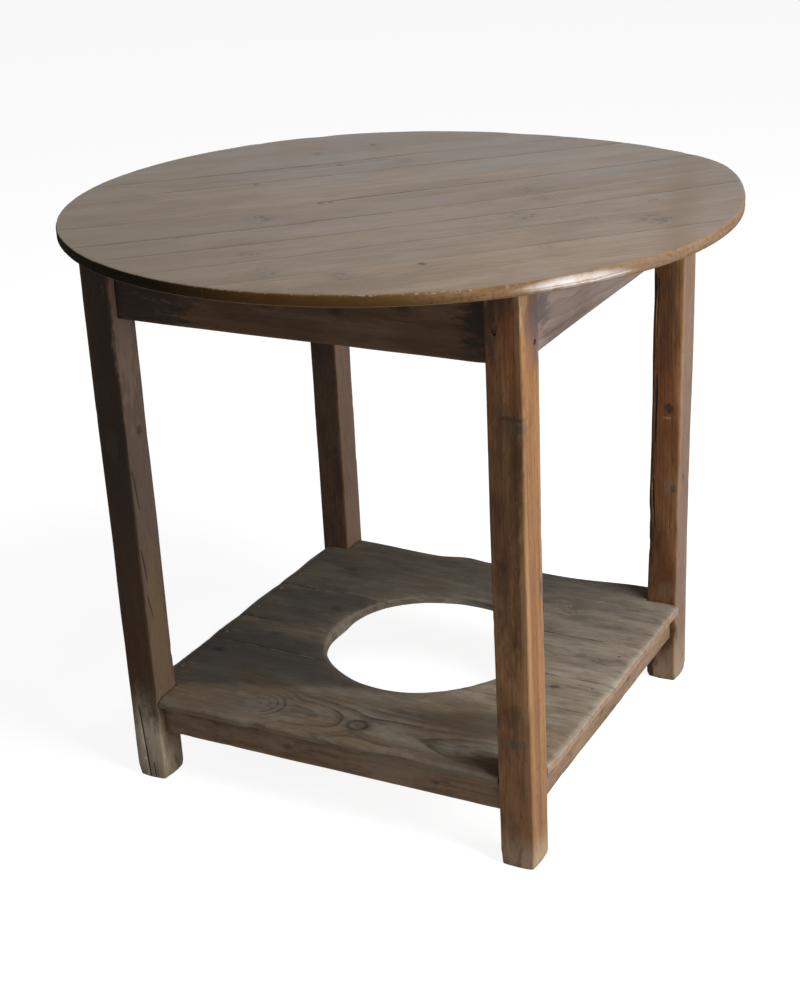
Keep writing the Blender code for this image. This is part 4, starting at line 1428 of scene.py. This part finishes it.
def lay_shelf_patches(wood, key, cloud, ragged, mottle):
    """Painted shade over the shelf, a painted slanting shadow left of the hole, and a pale curl round a knot
    at the back.
    """
    for place, size, strength, tint in PAINTED_SHADE_PATCHES:
        away = wood.away(on_shelf(*place), (*size, 1.0)) + (cloud - 0.5) * 1.6
        wood.lay(away.ease(1.2, 0.3) * strength, tint)
    if key in SHADOWED_BOARDS:
        # A painted shadow with a slanting edge
        slant = wood.north - wood.east * SHADOW_SLOPE + SHADOW_PLACE + (cloud - 0.5) * 0.030
        painted_shadow = slant.ease(-0.008, 0.014) * wood.east.ease(0.070, 0.0)
        painted_shadow = painted_shadow * (wood.north + (cloud - 0.5) * 0.06).ease(-0.035, -0.105)
        wood.lay(painted_shadow * 0.62, SHELF_PAINTED_SHADE)
    if key == BACK_BOARD:
        curl = abs(wood.away(BACK_KNOT, (0.016, 0.013, 1.0)) + (ragged - 0.5) * 2.6 - 1.0)
        wood.lay(curl.ease(0.30, 0.06) * mottle.ease(0.56, 0.44) * 0.34, SHELF_WORN)


def shelf_dirt(wood, seam, ragged):
    off = abs(wood.north - seam + (ragged - 0.5) * 0.003)
    line = off.ease(0.0016, 0.0005) * ragged.ease(0.38, 0.60)
    return line * (0.55 + wood.east.ease(-0.10, -0.20) * 0.40)


def board_finish(key):
    wood = Timber("scrubbed_board_" + key, LENGTHWAYS_TURN, 71 + list(BOARDS).index(key))
    tone, warm = BOARD_LOOKS[key]
    start_board_rings(wood, key)
    lines, smudge = knots_in(wood, BOARD_KNOTS[key])
    streak = wood.noise(11.0, 420.0, shift=1.2, detail=4.0)
    broad = wood.noise(9.0, 42.0, shift=2.9, detail=4.0)
    cloud = wood.noise(9.0, 22.0, shift=5.5, detail=5.0, rough=0.62)
    mottle = wood.noise(28.0, 75.0, shift=6.1, detail=5.0, rough=0.66)
    ragged = wood.noise(40.0, 110.0, shift=9.1, detail=3.0)
    wood.start_colour(broad.ease(0.36, 0.64), toned(SHELF_LIGHT, tone), toned(SHELF_MID, tone))
    wood.lay(cloud.ease(0.42, 0.62) * warm, SHELF_WARM)
    late = lay_figure(wood, key, ragged)
    wood.lay(streak.ease(0.52, 0.76) * 0.26, SHELF_DARK)
    wood.lay(mottle.ease(0.50, 0.68) * 0.38, SHELF_DARK)
    wood.lay(mottle.ease(0.46, 0.30) * 0.34, SHELF_WORN)
    lay_shelf_patches(wood, key, cloud, ragged, mottle)
    wood.lay(smudge * 0.5, SHELF_DARK)
    wood.lay(lines * 0.8, SHELF_GRIME)
    dirt = most_of([shelf_dirt(wood, seam, ragged) for seam in board_seams(key)])
    wood.lay(dirt, SHELF_GRIME)
    worn = lay_shelf_edges(wood, ragged, mottle)
    rough = 0.74 + streak * 0.14 - worn * 0.08
    relief = streak * 0.8 - late * 0.4 + mottle * 0.9 - dirt * 1.2 - lines * 0.6
    return wood.done(rough, relief, 0.0011, Specular_IOR_Level=0.12)


def lay_shelf_edges(wood, ragged, mottle):
    """Pale worn arrises, the hole's wall (lighter away from its west side, as painted light), and browner
    ends and undersides.
    """
    _, _, up = wood.facing()
    side = up.ease(0.55, 0.15)
    ends = (wood.east - SHELF_LEFT).least(SHELF_RIGHT - wood.east)
    at_end = ends.ease(0.006, 0.003)
    level = (1.0, 1.0, 0.0)
    flat = wood.node("Mapping", {}, {"Vector": wood.room, "Location": -HOLE_CENTRE, "Scale": level})
    from_centre = wood.node("VectorMath", {"operation": "LENGTH"}, {0: flat}, output=1)
    hole = (from_centre - HOLE_RADIUS + (ragged - 0.5) * 0.006).ease(0.0075, 0.0020)
    # The hole's wall away from its west side is lighter: painted light
    westerly = (wood.east - HOLE_CENTRE.x).ease(-0.060, -0.120)
    wall = wood.blend(westerly, SHELF_WALL_PAINTED_LIGHT, SHELF_WALL)
    wall = wood.blend(mottle.ease(0.44, 0.62) * 0.45, wall, SHELF_DARK)
    wood.lay(side * (from_centre - HOLE_RADIUS).ease(0.020, 0.010), wall)
    end_grain = wood.blend(mottle.ease(0.46, 0.64) * 0.5, SHELF_END, STRETCHER_MID)
    wood.lay(side * at_end * 0.9, end_grain)
    front = (wood.north - SHELF_FRONT).ease(0.034, 0.004)
    wood.lay(front * 0.40, SHELF_WARM)
    rolled = up.ease(0.985, 0.80) * up.ease(0.1, 0.4)
    rubbed = (ends + (ragged - 0.5) * 0.012).ease(0.009, 0.002) * up.ease(0.3, 0.7)
    worn = (rolled * mottle.ease(0.60, 0.44) * (1.0 - front * 0.6)).most(rubbed * 0.8)
    worn = worn * (1 - hole * 0.8)
    worn = worn.most(hole * up.ease(0.3, 0.7) * (0.08 + westerly * 0.42))
    wood.lay(worn * 0.60, SHELF_WORN)
    wood.lay(up.ease(-0.4, -0.8) * 0.7, STRETCHER_MID)
    return worn


# Pegs, dowels and nails

PEG_LIGHT = (0.095, 0.052, 0.030)
PEG_DARK = (0.022, 0.014, 0.010)
PEG_FADED = (0.150, 0.100, 0.080)
FADED_PEG = "peg_right_front_right"
DOWEL_LIGHT = (0.480, 0.340, 0.200)
DOWEL_DARK = (0.300, 0.190, 0.100)


def peg_finish(node):
    low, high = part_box(node)
    middle = (low + high) / 2
    wood = Timber("end_grain_" + node, LENGTHWAYS_TURN, 91 + len(node))
    away = wood.away(middle, (0.001, 0.001, 0.001))
    rings = (away * 1.3 + wood.noise(300.0, 300.0) * 1.5).fraction()
    pore = wood.noise(1500.0, 1500.0, shift=2.0)
    light, dark = (PEG_FADED, PEG_LIGHT) if node == FADED_PEG else (PEG_LIGHT, PEG_DARK)
    wood.start_colour(rings * 0.7, light, dark)
    wood.lay(pore.ease(0.55, 0.70), PEG_DARK)
    return wood.done(0.55 + pore * 0.2, rings + pore, 0.0003)


def make_peg(node):
    bm = merged_copy(node)
    low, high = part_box(node)
    middle = (low + high) / 2
    ease_edges(bm, lambda edge: edge.calc_face_angle(0.0) > math.radians(60), 0.0005, 2)
    follow = sway(middle)
    shift_vertices(bm, lambda point, normal: follow)
    dress(bm, "peg_end_" + node[4:], node, "peg_wood", peg_finish(node))


def dowel_finish():
    wood = Timber("turned_dowel", LEG_TURN, 87)
    streak = wood.noise(20.0, 600.0, detail=3.0)
    wood.start_colour(streak, DOWEL_LIGHT, DOWEL_DARK)
    return wood.give(Base_Color=wood.colour, Roughness=0.55 + streak * 0.2)


NAIL_RUST = (0.095, 0.045, 0.026)
NAIL_IRON = (0.180, 0.170, 0.160)


def nail_finish():
    wood = Timber("rusty_iron", LENGTHWAYS_TURN, 95)
    flake = wood.noise(900.0, 900.0, detail=3.0)
    wood.start_colour(flake.ease(0.45, 0.62), NAIL_IRON, NAIL_RUST)
    metal = flake.ease(0.60, 0.42) * 0.7
    return wood.done(0.45 + flake * 0.4, flake, 0.0002, Metallic=metal)


# Nails in the shelf, most of them over the side stretchers
SHELF_NAILS = (
    (0.2880, -0.205), (0.2855, -0.040), (0.2865, 0.062), (0.2495, 0.178), (-0.2830, -0.200),
    (-0.2815, -0.082), (-0.2840, -0.036), (-0.2825, 0.010), (-0.2835, 0.080), (-0.2820, 0.135),
    (-0.2840, 0.215),
)
NAIL_RADIUS = 0.0026
NAIL_DEPTH = 0.0014
NAIL_SUNK = 0.0003

# Brads in the front of the nearest and of the left leg: place and radius
LEG_BRADS = ((Vector((0.268, -0.2993, 0.689)), 0.0011), (Vector((-0.2826, -0.2990, 0.116)), 0.0020))
BRAD_TILT = 0.05


def nail_head(bm, place, way, radius, tilt):
    """A hammered head: a disc with a rounded rim, a little out of true, sunk to its rim."""
    made = bmesh.ops.create_cone(
        bm, cap_ends=True, segments=10, radius1=radius, radius2=radius * 0.86, depth=NAIL_DEPTH,
    )["verts"]
    edges = dict.fromkeys(edge for vert in made for edge in vert.link_edges)
    top = [edge for edge in edges if all(vert.co.z > 0.0006 for vert in edge.verts)]
    rounded = bmesh.ops.bevel(
        bm, geom=top, offset=0.0004, affect="EDGES", segments=2, profile=0.5, material=-1,
    )["verts"]
    whole = list(dict.fromkeys(vert for vert in made + rounded if vert.is_valid))
    turn = way.to_track_quat("Z", "Y").to_matrix() @ Matrix.Rotation(tilt, 3, "X")
    bmesh.ops.rotate(bm, verts=whole, cent=(0.0, 0.0, 0.0), matrix=turn)
    bmesh.ops.translate(bm, verts=whole, vec=place)


def make_nails(material):
    bm = bmesh.new()
    for number, (east, north) in enumerate(SHELF_NAILS):
        place = Vector((east, north, SHELF_HEIGHT - NAIL_SUNK))
        place += sway(place)
        size = NAIL_RADIUS * (0.85 + 0.3 * ((number * 0.37) % 1.0))
        nail_head(bm, place, UP, size, 0.10 * math.sin(3.0 * number))
    put_in_scene(bm, "shelf_nails", material)
    bm = bmesh.new()
    for place, radius in LEG_BRADS:
        nail_head(bm, place + sway(place), -NORTH, radius, BRAD_TILT)
    put_in_scene(bm, "leg_brads", material)


# Stage

# Lamps: azimuth and elevation in degrees, how far off they stand, their size and power
KEY_LAMP = (-8.0, 50.0, 3.0, (1.6, 1.6), 62.0)
LOW_LAMP = (-5.0, 12.0, 3.2, (2.2, 0.9), 43.0)
LAMP_AIM = Vector((0.0, 0.0, 0.45))
AMBIENT = 0.06
FLOOR_SIZE = 30.0
FLOOR_BOUNCE = 0.60
FLOOR_PALE = 0.50
FLOOR_GLOW = 0.90


def make_floor():
    bm = bmesh.new()
    bmesh.ops.create_grid(bm, x_segments=1, y_segments=1, size=FLOOR_SIZE)
    mesh = bpy.data.meshes.new("studio_floor")
    bm.to_mesh(mesh)
    bm.free()
    floor = bpy.data.objects.new("studio_floor", mesh)
    bpy.context.scene.collection.objects.link(floor)
    finish = Finish("pale_floor")
    camera_ray = finish.node("LightPath", output=0)
    bounce = finish.node("BsdfDiffuse", {}, {"Color": (FLOOR_BOUNCE,) * 3})
    pale = finish.node("BsdfDiffuse", {}, {"Color": (FLOOR_PALE,) * 3})
    glow = finish.node("Emission", {}, {"Strength": FLOOR_GLOW})
    seen = finish.node("AddShader", {}, {0: pale, 1: glow})
    surface = finish.node("MixShader", {}, {0: camera_ray, 1: bounce, 2: seen})
    output = finish.tree.nodes["Material Output"]
    finish.tree.links.new(surface.socket, output.inputs["Surface"])
    finish.tree.nodes.remove(finish.shader)
    mesh.materials.append(finish.material)


def make_lamp(name, azimuth, elevation, far, size, power):
    data = bpy.data.lights.new(name, "AREA")
    data.shape = "RECTANGLE"
    data.size, data.size_y = size
    data.energy = power
    lamp = bpy.data.objects.new(name, data)
    bpy.context.scene.collection.objects.link(lamp)
    level = math.cos(math.radians(elevation))
    way = Vector((
        math.cos(math.radians(azimuth)) * level,
        math.sin(math.radians(azimuth)) * level,
        math.sin(math.radians(elevation)),
    ))
    lamp.location = LAMP_AIM + way * far
    lamp.rotation_euler = way.to_track_quat("Z", "Y").to_euler()


def make_world():
    world = bpy.data.worlds.new("studio")
    bpy.context.scene.world = world
    world.use_nodes = True
    nodes = world.node_tree.nodes
    links = world.node_tree.links
    path = nodes.new("ShaderNodeLightPath")
    seen = path.outputs["Is Camera Ray"]
    for ray in ("Is Glossy Ray", "Is Transmission Ray"):
        either = nodes.new("ShaderNodeMath")
        either.operation = "MAXIMUM"
        links.new(seen, either.inputs[0])
        links.new(path.outputs[ray], either.inputs[1])
        seen = either.outputs[0]
    strength = nodes.new("ShaderNodeMix")
    links.new(seen, strength.inputs[0])
    strength.inputs[2].default_value = AMBIENT
    strength.inputs[3].default_value = 1.0
    links.new(strength.outputs[0], nodes["Background"].inputs["Strength"])
    nodes["Background"].inputs["Color"].default_value = (1.0, 1.0, 1.0, 1.0)


def make_camera():
    data = bpy.data.cameras.new("camera")
    data.lens = CAMERA_LENS
    data.sensor_width = CAMERA_SENSOR
    camera = bpy.data.objects.new("camera", data)
    bpy.context.scene.collection.objects.link(camera)
    level = math.cos(CAMERA_PITCH)
    ahead = Vector((
        -math.sin(CAMERA_YAW) * level, math.cos(CAMERA_YAW) * level, -math.sin(CAMERA_PITCH),
    ))
    right = Vector((math.cos(CAMERA_YAW), math.sin(CAMERA_YAW), 0.0))
    up = right.cross(ahead)
    rolled_right = right * math.cos(CAMERA_ROLL) + up * math.sin(CAMERA_ROLL)
    rolled_up = up * math.cos(CAMERA_ROLL) - right * math.sin(CAMERA_ROLL)
    camera.location = CAMERA_PLACE
    camera.rotation_euler = Matrix((rolled_right, rolled_up, -ahead)).transposed().to_euler()
    bpy.context.scene.camera = camera


def make_table():
    for corner in CORNERS:
        make_leg(corner)
    for side in SIDES:
        make_rail("apron", side, apron_finish)
        make_rail("stretcher", side, stretcher_finish)
    for number in range(1, len(SEAMS) + 2):
        make_plank(number)
    for key in BOARDS:
        make_board(key)
    dowel_wood = dowel_finish()
    for name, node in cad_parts.items():
        if name.startswith("peg_"):
            make_peg(name)
        if name.startswith("top_dowel_"):
            node.data.materials.clear()
            node.data.materials.append(dowel_wood)
    make_nails(nail_finish())


make_camera()
make_floor()
make_lamp("key_lamp", *KEY_LAMP)
make_lamp("low_lamp", *LOW_LAMP)
make_world()
make_table()
bpy.context.scene.view_settings.view_transform = "Standard"
